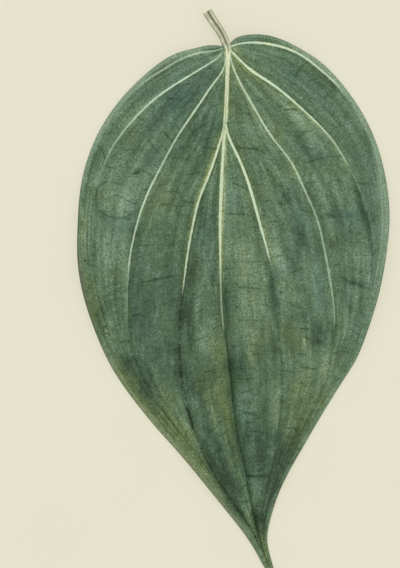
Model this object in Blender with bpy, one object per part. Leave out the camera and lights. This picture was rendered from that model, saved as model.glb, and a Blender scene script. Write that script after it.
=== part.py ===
"""Betel leaf lying face up: a broad heart-shaped blade, its nine veins and the stub of its stalk.

The leaf grew as one piece, so it is one closed solid. Its plan is cut into triangles once, and the same
triangles are lifted to the upper and to the lower face, so that the two faces never cross.
The tables are in millimetres, x to the right and y toward the stalk, from the point where the stalk meets
the blade. The model is in metres, +Z up, with the middle of its footprint at the origin.
"""
import bpy
import numpy as np

MM = 0.001

# Courses of the margins and main veins, each from the stalk to the tip
TIP = (14.4, -150.9)
MARGIN_LEFT = (
    (-1.5, 0.8), (-5.3, 1.0), (-9.2, 0.2), (-13.5, -0.9), (-21.5, -5.7), (-29.4, -13.3), (-35.1, -21.3),
    (-38.9, -29.6), (-41.3, -39.5), (-42.0, -49.3), (-42.1, -57.7), (-41.2, -65.5), (-37.9, -77.0),
    (-32.0, -90.0), (-23.5, -101.9), (-19.5, -106.7), (-14.8, -111.9), (-6.0, -122.4), (1.0, -131.1),
    (7.7, -140.5), (10.3, -145.2), TIP,
)
OUTER_LEFT = (
    (-1.3, 0.1), (-3.7, -0.6), (-6.9, -0.9), (-10.1, -1.7), (-13.1, -2.9), (-17.4, -5.4), (-21.4, -7.8),
    (-29.2, -15.1), (-33.7, -21.6), (-37.5, -29.7), (-39.8, -39.5), (-40.6, -49.3), (-40.4, -57.7),
    (-36.3, -76.4), (-30.7, -88.9), (-22.4, -100.5), (-13.9, -110.7), (-5.3, -121.5), (8.3, -140.0), TIP,
)
MIDDLE_LEFT = (
    (-1.1, -0.5), (-2.2, -2.0), (-4.6, -3.8), (-9.0, -6.5), (-13.3, -9.1), (-21.4, -14.8), (-28.1, -21.7),
    (-32.8, -28.4), (-36.1, -37.0), (-37.1, -43.7), (-37.4, -52.1), (-37.1, -61.9), (-35.7, -71.1),
    (-28.1, -89.3), (-20.9, -99.7), (-12.9, -109.6), (-4.6, -120.7), (8.5, -139.7), TIP,
)
INNER_LEFT = (
    (-0.8, -0.9), (-0.7, -4.3), (-3.9, -9.7), (-7.5, -15.2), (-13.5, -24.1), (-18.5, -33.1), (-22.4, -41.0),
    (-26.0, -52.2), (-27.5, -60.8), (-28.1, -71.5), (-27.0, -82.9), (-23.4, -92.7), (-17.2, -102.2),
    (-10.5, -111.4), (-3.4, -121.1), (9.0, -139.4), TIP,
)
BRANCH_LEFT = (
    (-0.5, -1.3), (-0.4, -5.9), (-0.6, -12.9), (-1.0, -22.1), (-2.5, -27.2), (-5.6, -35.9), (-7.6, -40.6),
    (-9.6, -48.0), (-11.1, -56.1), (-12.3, -65.5), (-13.3, -75.4), (-13.3, -87.2), (-11.9, -97.8),
    (-8.9, -108.2), (-4.2, -118.2), (1.3, -126.8), (7.0, -135.6), TIP,
)
MIDRIB = (
    (0.0, -1.4), (0.0, -4.5), (-0.2, -12.0), (-0.6, -19.9), (-1.2, -27.2), (-1.8, -36.7), (-2.2, -47.9),
    (-2.1, -59.1), (-1.7, -71.5), (-0.5, -83.2), (0.8, -95.0), (2.4, -107.8), (4.1, -115.4),
    (5.7, -124.0), (9.7, -140.0), TIP,
)
BRANCH_RIGHT = (
    (0.3, -1.2), (0.4, -5.9), (0.1, -12.9), (-0.4, -21.6), (0.8, -25.7), (2.7, -29.7), (6.2, -38.7),
    (8.7, -47.7), (10.7, -54.9), (12.0, -60.1), (13.4, -71.5), (14.4, -81.5), (15.0, -92.7),
    (14.5, -103.1), (13.2, -111.8), (11.5, -120.7), (9.9, -128.5), (9.8, -135.5), TIP,
)
INNER_RIGHT = (
    (0.5, -0.8), (1.7, -5.5), (4.1, -10.6), (7.6, -16.9), (12.8, -25.3), (17.9, -32.0), (21.3, -39.0),
    (25.1, -47.9), (27.2, -56.9), (29.0, -66.7), (29.9, -75.4), (29.3, -84.3), (27.0, -94.1),
    (22.5, -103.9), (17.5, -113.1), (13.4, -122.9), (10.9, -130.5), (10.4, -136.9), TIP,
)
MIDDLE_RIGHT = (
    (0.6, -0.2), (3.7, -3.4), (7.2, -6.5), (10.8, -8.9), (17.9, -14.3), (24.5, -20.3), (27.9, -23.8),
    (33.1, -31.3), (37.0, -39.2), (38.8, -45.6), (40.3, -53.5), (40.5, -59.6), (39.9, -67.5),
    (37.7, -77.3), (33.2, -87.6), (27.3, -97.4), (16.7, -116.8), (12.7, -126.0), (10.7, -132.7),
    (10.7, -137.8), TIP,
)
OUTER_RIGHT = (
    (0.6, 0.5), (2.6, 1.2), (4.9, 1.6), (9.3, 1.6), (13.6, 0.9), (17.6, -0.3), (21.4, -2.2), (25.3, -5.1),
    (30.4, -9.6), (32.4, -12.0), (38.4, -21.6), (40.8, -27.2), (42.3, -33.3), (43.3, -42.3),
    (43.2, -52.6), (41.8, -62.4), (39.6, -72.5), (36.1, -82.9), (30.5, -93.5), (18.4, -113.0),
    (13.8, -123.2), (11.6, -131.0), (11.0, -137.5), TIP,
)
MARGIN_RIGHT = (
    (0.6, 1.4), (1.1, 2.0), (3.0, 3.3), (6.6, 4.0), (9.7, 4.0), (13.5, 3.2), (17.4, 1.7), (21.3, -0.4),
    (25.3, -2.9), (29.2, -6.3), (34.9, -13.2), (40.1, -22.1), (43.5, -32.0), (45.1, -41.0),
    (45.4, -48.4), (45.0, -53.5), (44.0, -60.7), (42.4, -68.7), (38.8, -80.4), (35.7, -87.7),
    (32.8, -92.4), (19.9, -113.8), (14.7, -123.8), (12.2, -131.3), (11.2, -137.5), (12.4, -143.6), TIP,
)
COURSES = (
    MARGIN_LEFT, OUTER_LEFT, MIDDLE_LEFT, INNER_LEFT, BRANCH_LEFT, MIDRIB,
    BRANCH_RIGHT, INNER_RIGHT, MIDDLE_RIGHT, OUTER_RIGHT, MARGIN_RIGHT,
)
LAST_COURSE = len(COURSES) - 1
MIDRIB_INDEX = 5
SIDE_VEINS = (1, 2, 3, 4, 6, 7, 8, 9)
# The innermost pair leaves the midrib at this share of its length and is whole a little further down
BRANCHES = (4, 6)
BRANCH_START = 0.13
BRANCH_GROWTH = (0.1, 0.18)

# Stalk
STALK_COURSE = ((-5.7, 10.5), (-4.2, 8.1), (-2.7, 5.9), (-1.4, 3.7), (-0.7, 2.2))
STALK_HALF_WIDTH = (1.35, 1.15)
STALK_HALF_DEPTH = 1.15
STALK_HEIGHT = (2.5, 2.9)
STALK_ROWS = 6
STALK_COLUMNS = (0.0, 0.2, 0.45, 0.7, 0.9, 1.0)
STALK_SIDE = 0.7
STALK_SAMPLES = 200
GROOVE_DEPTH = 0.45
GROOVE_HALF_WIDTH = 0.5

# Blade
THICKNESS = 0.7
MIDRIB_LINE = ((0.0, 3.4), (0.12, 2.9), (0.25, 2.2), (0.38, 1.6), (0.44, 1.0), (0.5, 1.0), (0.64, 2.0),
               (0.78, 2.1), (0.92, 1.3), (1.0, 0.9))
LEFT_EDGE = ((0.0, 3.4), (0.05, 2.4), (0.13, 0.35), (0.2, 0.3), (0.34, 2.3), (0.47, 1.3), (0.56, 0.3),
             (0.64, 0.4), (0.76, 1.7), (0.88, 0.6), (1.0, 0.9))
RIGHT_EDGE = ((0.0, 3.4), (0.06, 3.2), (0.16, 0.5), (0.22, 0.3), (0.3, 1.4), (0.4, 2.9), (0.52, 1.4),
              (0.61, 0.3), (0.68, 0.4), (0.8, 1.3), (0.9, 0.7), (1.0, 0.9))
EDGE_BEND = 1.6
# Each half of the blade arches up between midrib and margin, growing from the stalk, ending at the tip
ARCH_HEIGHT = 3.0
ARCH_START = 22.0
ARCH_LEAN = 0.85
ARCH_END = (0.7, 1.0)
# The panels between the veins are crowned, and rippled across
PANEL_CROWN = 0.055
PANEL_CROWN_LIMIT = 0.8
RIPPLE_HEIGHT = 0.22
RIPPLE_LENGTH = 0.085
RIPPLE_SHIFT = 1.7
RIPPLE_START = (0.08, 0.2)

# Veins: the hollow above each, its pale cord on the upper face and its rib below.
# A pair of values is at the stalk and at the tip, and sizes change between them by this power.
TAPER_BEND = 0.6
HOLLOW_DEPTH = ((0.0, 0.0), (0.25, 0.0), (0.35, 0.05), (0.45, 0.2), (0.5, 0.3), (0.55, 0.3),
                (0.5, 0.3), (0.45, 0.2), (0.35, 0.05), (0.25, 0.0), (0.0, 0.0))
HOLLOW_HALF_WIDTH = 1.5
HOLLOW_START = 0.05
CORD_HEIGHT = 0.28
CORD_HALF_WIDTH = {"midrib": 0.75, "side": 0.5}
CORD_END = (0.9, 0.22, 0.38, 0.62, 0.62, 0.66, 0.5, 0.62, 0.4, 0.3, 0.9)
CORD_FADE = (-0.12, 0.05)
RIB_HEIGHT = {"midrib": (1.5, 0.3), "side": (0.85, 0.2)}
RIB_HALF_WIDTH = {"midrib": (1.3, 0.4), "side": (0.8, 0.35)}

# Mesh
ROWS_NEAR_STALK = (0.0, 0.008, 0.018, 0.03, 0.044, 0.06, 0.078, 0.098)
ROWS_TO_TIP = 40
LAST_ROW = 0.985
ROW_REACH = 0.004
LEAST_GAP = 0.3
RIB_STEPS = (0.45, 1.0)
HOLLOW_STEP = 1.5
STEP_LIMIT = 0.85
PANEL_STEPS = (0.5, 0.3, 0.7)
FINE_SAMPLES = 600
TURN_RADIUS = 85.0
TURN_SHARE = 0.45

# Surface: a leathery, half-glossy green
LEAF_GREEN = (0.115, 0.181, 0.105)
LEAF_ROUGHNESS = 0.5


def clear_scene():
    for item in list(bpy.data.objects):
        bpy.data.objects.remove(item)


def smooth_course(points, samples):
    """Natural cubic spline through the points, sampled at even steps of its length."""
    knots = np.array(points, dtype=float)
    reach = np.linalg.norm(np.diff(knots, axis=0), axis=1)
    at = np.concatenate([[0.0], np.cumsum(reach)])
    count = len(knots)
    system = np.eye(count)
    bend = np.zeros((count, 2))
    slope = np.diff(knots, axis=0) / reach[:, None]
    for i in range(1, count - 1):
        system[i, i - 1:i + 2] = reach[i - 1], 2 * (reach[i - 1] + reach[i]), reach[i]
        bend[i] = 6 * (slope[i] - slope[i - 1])
    curve = np.linalg.solve(system, bend)
    fine = np.linspace(0.0, at[-1], samples * 2)
    i = np.clip(np.searchsorted(at, fine, side="right") - 1, 0, count - 2)
    span = reach[i][:, None]
    after = (fine - at[i])[:, None]
    before = span - after
    line = (curve[i] * before ** 3 + curve[i + 1] * after ** 3) / (6 * span)
    line += (knots[i] / span - curve[i] * span / 6) * before
    line += (knots[i + 1] / span - curve[i + 1] * span / 6) * after
    run = np.concatenate([[0.0], np.cumsum(np.linalg.norm(np.diff(line, axis=0), axis=1))])
    even = np.linspace(0.0, run[-1], samples)
    return np.column_stack([np.interp(even, run, line[:, 0]), np.interp(even, run, line[:, 1])])


def levelled_course(points):
    """A vein or margin sampled so that equal steps on all of them lie abreast.

    Above the turn the steps share out its length. Below it they are rings round the tip.
    """
    line = smooth_course(points, FINE_SAMPLES * 2)
    to_tip = np.linalg.norm(line - TIP, axis=1)
    turn = int(np.argmax(to_tip < TURN_RADIUS))
    level = np.empty(len(line))
    level[:turn] = TURN_SHARE * np.arange(turn) / turn
    level[turn:] = 1 - (1 - TURN_SHARE) * to_tip[turn:] / TURN_RADIUS
    even = np.linspace(0.0, 1.0, FINE_SAMPLES)
    return np.column_stack([np.interp(even, level, line[:, 0]), np.interp(even, level, line[:, 1])])


def ease(low, high, value):
    part = np.clip((value - low) / (high - low), 0.0, 1.0)
    return part * part * (3 - 2 * part)


def through(stations, v):
    """Smooth height along the leaf through (share of the length, height) stations."""
    at = np.array([place for place, _ in stations])
    height = np.array([level for _, level in stations])
    i = np.clip(np.searchsorted(at, v, side="right") - 1, 0, len(at) - 2)
    return height[i] + (height[i + 1] - height[i]) * ease(at[i], at[i + 1], v)


def taper(ends, v):
    return ends[0] + (ends[1] - ends[0]) * v ** TAPER_BEND


class Leaf:
    """Places in the blade: u runs across it from vein to vein, v from the stalk (0) to the tip (1)."""

    def __init__(self):
        self.courses = [levelled_course(points) for points in COURSES]

    def place(self, u, v):
        """Plan position of (u, v), where whole numbers of u are the courses in their order."""
        column = np.clip(np.floor(u).astype(int), 0, LAST_COURSE - 1)
        share = (u - column)[:, None]
        at = v * (FINE_SAMPLES - 1)
        i = np.clip(np.floor(at).astype(int), 0, FINE_SAMPLES - 2)
        part = (at - i)[:, None]
        stack = np.array(self.courses)
        near = stack[column, i] * (1 - part) + stack[column, i + 1] * part
        far = stack[column + 1, i] * (1 - part) + stack[column + 1, i + 1] * part
        return near * (1 - share) + far * share

    def row_points(self, v):
        index = np.arange(len(self.courses), dtype=float)
        return self.place(index, np.full(len(index), v))

    def across(self, u, v):
        """Share of the way from the midrib (0) to the left (-1) or the right margin (1)."""
        index = np.arange(len(self.courses), dtype=float)
        share = np.empty(len(u))
        for level in np.unique(v):
            here = v == level
            points = self.row_points(level)
            run = np.concatenate([[0.0], np.cumsum(np.linalg.norm(np.diff(points, axis=0), axis=1))])
            run -= run[MIDRIB_INDEX]
            reach = np.interp(u[here], index, run)
            share[here] = np.where(reach < 0, reach / -run[0], reach / run[-1])
        return share

    def panel_width(self, u, v):
        column = np.clip(np.floor(u), 0, LAST_COURSE - 1)
        return np.linalg.norm(self.place(column + 1, v) - self.place(column, v), axis=1)

    def from_vein(self, index, plan):
        """Distance of each plan point from one course, and how far down that course it lies."""
        course = self.courses[index]
        start = course[:-1]
        step = np.diff(course, axis=0)
        size = (step ** 2).sum(axis=1)
        away = np.empty(len(plan))
        down = np.empty(len(plan))
        for i, point in enumerate(plan):
            part = np.clip(((point - start) * step).sum(axis=1) / size, 0.0, 1.0)
            gap = np.linalg.norm(start + part[:, None] * step - point, axis=1)
            nearest = int(gap.argmin())
            away[i] = gap[nearest]
            down[i] = (nearest + part[nearest]) / len(start)
        return away, down


def kind_of(index):
    return "midrib" if index == MIDRIB_INDEX else "side"


def row_columns(leaf, v):
    """Columns of one row: margins and veins first, then rib feet, hollow edges and panel middles."""
    points = leaf.row_points(v)
    ahead = leaf.row_points(min(v + ROW_REACH, 1.0)) - leaf.row_points(max(v - ROW_REACH, 0.0))
    ahead /= np.linalg.norm(ahead, axis=1)[:, None]
    wanted = [0.0, float(LAST_COURSE), float(MIDRIB_INDEX)]
    wanted += [float(index) for index in SIDE_VEINS if index not in BRANCHES or v > BRANCH_START]
    offsets = []
    for index in (MIDRIB_INDEX, *SIDE_VEINS):
        foot = taper(RIB_HALF_WIDTH[kind_of(index)], v)
        steps = RIB_STEPS if index == MIDRIB_INDEX else RIB_STEPS[1:]
        offsets += [(index, foot * step) for step in steps]
    offsets += [(index, HOLLOW_HALF_WIDTH * HOLLOW_STEP) for index in (MIDRIB_INDEX, *SIDE_VEINS)]
    for index, offset in offsets:
        for side in (-1, 1):
            gap = points[index + side] - points[index]
            square = abs(gap[0] * ahead[index][1] - gap[1] * ahead[index][0])
            if offset < STEP_LIMIT * square:
                wanted.append(index + side * offset / square)
    for step in PANEL_STEPS:
        wanted += [index + step for index in range(LAST_COURSE)]
    chosen = []
    for u in wanted:
        here = leaf.place(np.array([u]), np.array([v]))[0]
        if all(np.linalg.norm(here - there) >= LEAST_GAP for _, there in chosen):
            chosen.append((u, here))
    return np.array(sorted(u for u, _ in chosen))


def veins_at(leaf, plan, v):
    """Depth of the hollows, height of the cords and height of the ribs at each plan point."""
    hollow = np.zeros(len(plan))
    cord = np.zeros(len(plan))
    rib = np.zeros(len(plan))
    for index in (MIDRIB_INDEX, *SIDE_VEINS):
        kind = kind_of(index)
        away, down = leaf.from_vein(index, plan)
        begun = ease(*BRANCH_GROWTH, down) if index in BRANCHES else 1.0
        half = taper(RIB_HALF_WIDTH[kind], down)
        rib = np.maximum(rib, begun * taper(RIB_HEIGHT[kind], down) * np.clip(1 - (away / half) ** 2, 0, 1))
        dip = begun * taper(HOLLOW_DEPTH[index], down) * np.exp(-(away / HOLLOW_HALF_WIDTH) ** 2)
        hollow = np.maximum(hollow, dip * ease(0.0, HOLLOW_START, down))
        width = CORD_HALF_WIDTH[kind]
        shown = begun * (1 - ease(CORD_END[index] + CORD_FADE[0], CORD_END[index] + CORD_FADE[1], down))
        cord = np.maximum(cord, shown * CORD_HEIGHT * np.clip(1 - (away / width) ** 2, 0, 1))
    return hollow, cord, rib


def blade_heights(leaf, u, v, plan):
    """Upper and lower height of the blade at each plan point."""
    across = leaf.across(u, v)
    side = np.abs(across)
    edge = np.where(across < 0, through(LEFT_EDGE, v), through(RIGHT_EDGE, v))
    spine = through(MIDRIB_LINE, v)
    grown = ease(0.0, ARCH_START, np.linalg.norm(plan, axis=1))
    arch = ARCH_HEIGHT * grown * np.sin(np.pi * side ** ARCH_LEAN) * (1 - ease(*ARCH_END, v))
    share = u - np.floor(u)
    crown = np.minimum(PANEL_CROWN * leaf.panel_width(u, v), PANEL_CROWN_LIMIT) * 4 * share * (1 - share)
    phase = 2 * np.pi * v / RIPPLE_LENGTH + RIPPLE_SHIFT * np.floor(u)
    ripple = RIPPLE_HEIGHT * np.sin(phase) * 4 * share * (1 - share) * ease(*RIPPLE_START, v) * (1 - v)
    hollow, cord, rib = veins_at(leaf, plan, v)
    middle = spine + (edge - spine) * side ** EDGE_BEND + arch + grown * (crown + ripple) - hollow
    lower = np.maximum(middle - THICKNESS / 2 - rib, 0.0)
    upper = np.maximum(middle, THICKNESS / 2) + THICKNESS / 2 + cord
    return upper, lower


def blade_rows(leaf):
    """Rows of the blade from the stalk to the tip: columns, plan points and both heights."""
    even = np.linspace(ROWS_NEAR_STALK[-1], LAST_ROW, ROWS_TO_TIP + 1)[1:]
    rows = []
    for v in (*ROWS_NEAR_STALK, *even):
        u = row_columns(leaf, v)
        rows.append((u, leaf.place(u, np.full(len(u), v)), np.full(len(u), v)))
    rows.append((np.array([float(MIDRIB_INDEX)]), np.array([TIP]), np.ones(1)))
    u = np.concatenate([row[0] for row in rows])
    plan = np.concatenate([row[1] for row in rows])
    v = np.concatenate([row[2] for row in rows])
    upper, lower = blade_heights(leaf, u, v, plan)
    cuts = np.cumsum([len(row[0]) for row in rows])[:-1]
    return list(zip(np.split(u, cuts), np.split(plan, cuts), np.split(upper, cuts), np.split(lower, cuts)))


def stalk_rows():
    """Rows of the stalk from its cut end to the blade: round below, with a groove along its top."""
    course = smooth_course(STALK_COURSE, STALK_SAMPLES)
    steps = np.array([-s for s in STALK_COLUMNS[:0:-1]] + list(STALK_COLUMNS))
    columns = (steps + 1) * LAST_COURSE / 2
    rows = []
    for part in np.linspace(0.0, 1.0, STALK_ROWS):
        i = min(int(part * (STALK_SAMPLES - 1)), STALK_SAMPLES - 2)
        ahead = course[i + 1] - course[i]
        ahead /= np.linalg.norm(ahead)
        right = np.array([-ahead[1], ahead[0]])
        half = STALK_HALF_WIDTH[0] + (STALK_HALF_WIDTH[1] - STALK_HALF_WIDTH[0]) * part
        level = STALK_HEIGHT[0] + (STALK_HEIGHT[1] - STALK_HEIGHT[0]) * part
        plan = course[i] + steps[:, None] * half * right
        bulge = np.maximum(STALK_HALF_DEPTH * np.sqrt(1 - steps ** 2), STALK_SIDE / 2)
        groove = GROOVE_DEPTH * np.exp(-(steps * half / GROOVE_HALF_WIDTH) ** 2)
        rows.append((columns, plan, level + bulge - groove, level - bulge))
    return rows


def zip_rows(first, second, triangles):
    """Triangles between two neighbouring rows, given as (column, vertex) pairs in order."""
    i = j = 0
    while i < len(first) - 1 or j < len(second) - 1:
        if j == len(second) - 1:
            forward = True
        elif i == len(first) - 1:
            forward = False
        else:
            forward = first[i + 1][0] <= second[j + 1][0]
        if forward:
            triangles.append((first[i][1], second[j][1], first[i + 1][1]))
            i += 1
        else:
            triangles.append((first[i][1], second[j][1], second[j + 1][1]))
            j += 1


def plan_mesh(rows):
    """Vertices, triangles and outline of the plan."""
    numbered = []
    count = 0
    for row in rows:
        numbered.append([(u, count + i) for i, u in enumerate(row[0])])
        count += len(row[0])
    triangles = []
    for first, second in zip(numbered, numbered[1:]):
        zip_rows(first, second, triangles)
    left = [row[0][1] for row in numbered]
    right = [row[-1][1] for row in numbered[:-1]]
    cut_end = [vertex for _, vertex in numbered[0][1:-1]]
    return triangles, left + right[::-1] + cut_end[::-1]


def leaf_mesh():
    """Vertices in millimetres and faces of the whole leaf."""
    rows = stalk_rows() + blade_rows(Leaf())
    plan = np.concatenate([row[1] for row in rows])
    upper = np.concatenate([row[2] for row in rows])
    lower = np.concatenate([row[3] for row in rows])
    triangles, outline = plan_mesh(rows)
    count = len(plan)
    vertices = np.vstack([np.column_stack([plan, upper]), np.column_stack([plan, lower])])
    faces = [tuple(face) for face in triangles]
    faces += [(a + count, c + count, b + count) for a, b, c in triangles]
    for a, b in zip(outline, outline[1:] + outline[:1]):
        faces += [(b, a, a + count), (b, a + count, b + count)]
    return vertices, faces


def centred(vertices):
    low = vertices.min(axis=0)
    high = vertices.max(axis=0)
    return vertices - [(low[0] + high[0]) / 2, (low[1] + high[1]) / 2, low[2]]


def leaf_material():
    material = bpy.data.materials.new("leaf")
    material.use_nodes = True
    shader = material.node_tree.nodes["Principled BSDF"]
    shader.inputs["Base Color"].default_value = (*LEAF_GREEN, 1.0)
    shader.inputs["Roughness"].default_value = LEAF_ROUGHNESS
    shader.inputs["Metallic"].default_value = 0.0
    return material


def make_leaf():
    vertices, faces = leaf_mesh()
    mesh = bpy.data.meshes.new("betel_leaf")
    mesh.from_pydata((centred(vertices) * MM).tolist(), [], faces)
    mesh.materials.append(leaf_material())
    mesh.shade_smooth()
    leaf = bpy.data.objects.new("betel_leaf", mesh)
    bpy.context.scene.collection.objects.link(leaf)


clear_scene()
make_leaf()
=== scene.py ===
"""Looks of a betel leaf lying face up: blade with its veins and veinlets, grooved stalk, and a plain stage.

The leaf follows the solid of the frame, and its mesh is finer. Tables are in millimetres, x to the
right and y toward the stalk, from the point where the stalk meets the blade. The model is in metres.
"""

import bpy
import numpy as np
from bpy.props import FloatProperty, FloatVectorProperty, PointerProperty
from mathutils import Matrix, Vector, noise


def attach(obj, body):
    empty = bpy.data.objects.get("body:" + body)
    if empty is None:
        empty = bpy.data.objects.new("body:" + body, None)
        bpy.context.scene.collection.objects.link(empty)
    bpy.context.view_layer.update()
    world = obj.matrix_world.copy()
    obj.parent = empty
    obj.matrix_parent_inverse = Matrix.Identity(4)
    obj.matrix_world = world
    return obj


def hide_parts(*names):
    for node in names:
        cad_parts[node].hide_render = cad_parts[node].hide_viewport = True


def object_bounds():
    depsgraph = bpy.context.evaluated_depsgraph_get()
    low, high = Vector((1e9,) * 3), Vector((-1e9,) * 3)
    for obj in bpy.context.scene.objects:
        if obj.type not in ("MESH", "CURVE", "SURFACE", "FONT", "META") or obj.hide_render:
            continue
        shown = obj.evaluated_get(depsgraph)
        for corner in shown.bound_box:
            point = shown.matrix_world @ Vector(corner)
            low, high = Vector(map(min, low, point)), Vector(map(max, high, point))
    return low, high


bl_info = {
    "name": "Betel leaf",
    "version": (1, 0, 0),
    "blender": (4, 5, 0),
    "location": "3D View > Sidebar > Leaf",
    "description": "Makes a betel leaf with its veins and the pale stage it lies on",
    "category": "Add Mesh",
}

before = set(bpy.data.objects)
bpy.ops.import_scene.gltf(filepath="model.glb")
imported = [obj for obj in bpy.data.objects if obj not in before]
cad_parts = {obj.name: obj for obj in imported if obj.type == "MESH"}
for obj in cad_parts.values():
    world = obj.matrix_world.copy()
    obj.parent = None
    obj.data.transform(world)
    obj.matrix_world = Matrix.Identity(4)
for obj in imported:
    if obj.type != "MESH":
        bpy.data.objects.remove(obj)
CAD_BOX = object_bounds()
MM = 0.001

# Courses of the margins and main veins, each from the stalk to the tip
TIP = (14.4, -150.9)
MARGIN_LEFT = (
    (-1.5, 0.8), (-5.3, 1.0), (-9.2, 0.2), (-13.5, -0.9), (-21.5, -5.7), (-29.4, -13.3), (-35.1, -21.3),
    (-38.9, -29.6), (-41.3, -39.5), (-42.0, -49.3), (-42.1, -57.7), (-41.2, -65.5), (-37.9, -77.0),
    (-32.0, -90.0), (-23.5, -101.9), (-19.5, -106.7), (-14.8, -111.9), (-6.0, -122.4), (1.0, -131.1),
    (7.7, -140.5), (10.3, -145.2), TIP,
)
OUTER_LEFT = (
    (-1.3, 0.1), (-3.7, -0.6), (-6.9, -0.9), (-10.1, -1.7), (-13.1, -2.9), (-17.4, -5.4), (-21.4, -7.8),
    (-29.2, -15.1), (-33.7, -21.6), (-37.5, -29.7), (-39.8, -39.5), (-40.6, -49.3), (-40.4, -57.7),
    (-36.3, -76.4), (-30.7, -88.9), (-22.4, -100.5), (-13.9, -110.7), (-5.3, -121.5), (8.3, -140.0), TIP,
)
MIDDLE_LEFT = (
    (-1.1, -0.5), (-2.2, -2.0), (-4.6, -3.8), (-9.0, -6.5), (-13.3, -9.1), (-21.4, -14.8), (-28.1, -21.7),
    (-32.8, -28.4), (-36.1, -37.0), (-37.1, -43.7), (-37.4, -52.1), (-37.1, -61.9), (-35.7, -71.1),
    (-28.1, -89.3), (-20.9, -99.7), (-12.9, -109.6), (-4.6, -120.7), (8.5, -139.7), TIP,
)
INNER_LEFT = (
    (-0.8, -0.9), (-0.7, -4.3), (-3.9, -9.7), (-7.5, -15.2), (-13.5, -24.1), (-18.5, -33.1), (-22.4, -41.0),
    (-26.0, -52.2), (-27.5, -60.8), (-28.1, -71.5), (-27.0, -82.9), (-23.4, -92.7), (-17.2, -102.2),
    (-10.5, -111.4), (-3.4, -121.1), (9.0, -139.4), TIP,
)
BRANCH_LEFT = (
    (-0.5, -1.3), (-0.4, -5.9), (-0.6, -12.9), (-1.0, -22.1), (-2.5, -27.2), (-5.6, -35.9), (-7.6, -40.6),
    (-9.6, -48.0), (-11.1, -56.1), (-12.3, -65.5), (-13.3, -75.4), (-13.3, -87.2), (-11.9, -97.8),
    (-8.9, -108.2), (-4.2, -118.2), (1.3, -126.8), (7.0, -135.6), TIP,
)
MIDRIB = (
    (0.0, -1.4), (0.0, -4.5), (-0.2, -12.0), (-0.6, -19.9), (-1.2, -27.2), (-1.8, -36.7), (-2.2, -47.9),
    (-2.1, -59.1), (-1.7, -71.5), (-0.5, -83.2), (0.8, -95.0), (2.4, -107.8), (4.1, -115.4),
    (5.7, -124.0), (9.7, -140.0), TIP,
)
BRANCH_RIGHT = (
    (0.3, -1.2), (0.4, -5.9), (0.1, -12.9), (-0.4, -21.6), (0.8, -25.7), (2.7, -29.7), (6.2, -38.7),
    (8.7, -47.7), (10.7, -54.9), (12.0, -60.1), (13.4, -71.5), (14.4, -81.5), (15.0, -92.7),
    (14.5, -103.1), (13.2, -111.8), (11.5, -120.7), (9.9, -128.5), (9.8, -135.5), TIP,
)
INNER_RIGHT = (
    (0.5, -0.8), (1.7, -5.5), (4.1, -10.6), (7.6, -16.9), (12.8, -25.3), (17.9, -32.0), (21.3, -39.0),
    (25.1, -47.9), (27.2, -56.9), (29.0, -66.7), (29.9, -75.4), (29.3, -84.3), (27.0, -94.1),
    (22.5, -103.9), (17.5, -113.1), (13.4, -122.9), (10.9, -130.5), (10.4, -136.9), TIP,
)
MIDDLE_RIGHT = (
    (0.6, -0.2), (3.7, -3.4), (7.2, -6.5), (10.8, -8.9), (17.9, -14.3), (24.5, -20.3), (27.9, -23.8),
    (33.1, -31.3), (37.0, -39.2), (38.8, -45.6), (40.3, -53.5), (40.5, -59.6), (39.9, -67.5),
    (37.7, -77.3), (33.2, -87.6), (27.3, -97.4), (16.7, -116.8), (12.7, -126.0), (10.7, -132.7),
    (10.7, -137.8), TIP,
)
OUTER_RIGHT = (
    (0.6, 0.5), (2.6, 1.2), (4.9, 1.6), (9.3, 1.6), (13.6, 0.9), (17.6, -0.3), (21.4, -2.2), (25.3, -5.1),
    (30.4, -9.6), (32.4, -12.0), (38.4, -21.6), (40.8, -27.2), (42.3, -33.3), (43.3, -42.3),
    (43.2, -52.6), (41.8, -62.4), (39.6, -72.5), (36.1, -82.9), (30.5, -93.5), (18.4, -113.0),
    (13.8, -123.2), (11.6, -131.0), (11.0, -137.5), TIP,
)
MARGIN_RIGHT = (
    (0.6, 1.4), (1.1, 2.0), (3.0, 3.3), (6.6, 4.0), (9.7, 4.0), (13.5, 3.2), (17.4, 1.7), (21.3, -0.4),
    (25.3, -2.9), (29.2, -6.3), (34.9, -13.2), (40.1, -22.1), (43.5, -32.0), (45.1, -41.0),
    (45.4, -48.4), (45.0, -53.5), (44.0, -60.7), (42.4, -68.7), (38.8, -80.4), (35.7, -87.7),
    (32.8, -92.4), (19.9, -113.8), (14.7, -123.8), (12.2, -131.3), (11.2, -137.5), (12.4, -143.6), TIP,
)
COURSES = (
    MARGIN_LEFT, OUTER_LEFT, MIDDLE_LEFT, INNER_LEFT, BRANCH_LEFT, MIDRIB,
    BRANCH_RIGHT, INNER_RIGHT, MIDDLE_RIGHT, OUTER_RIGHT, MARGIN_RIGHT,
)
LAST_COURSE = len(COURSES) - 1
MIDRIB_INDEX = 5
VEINS = range(1, LAST_COURSE)
# The innermost pair leaves the midrib at this share of its length and is whole a little further down
BRANCHES = (4, 6)
BRANCH_START = 0.13
BRANCH_GROWTH = (0.1, 0.18)
# Places abreast are at equal shares of each course's length down to this distance from the tip, and at
# equal distances from the tip below it
TURN_RADIUS = 85.0
TURN_SHARE = 0.45

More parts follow.
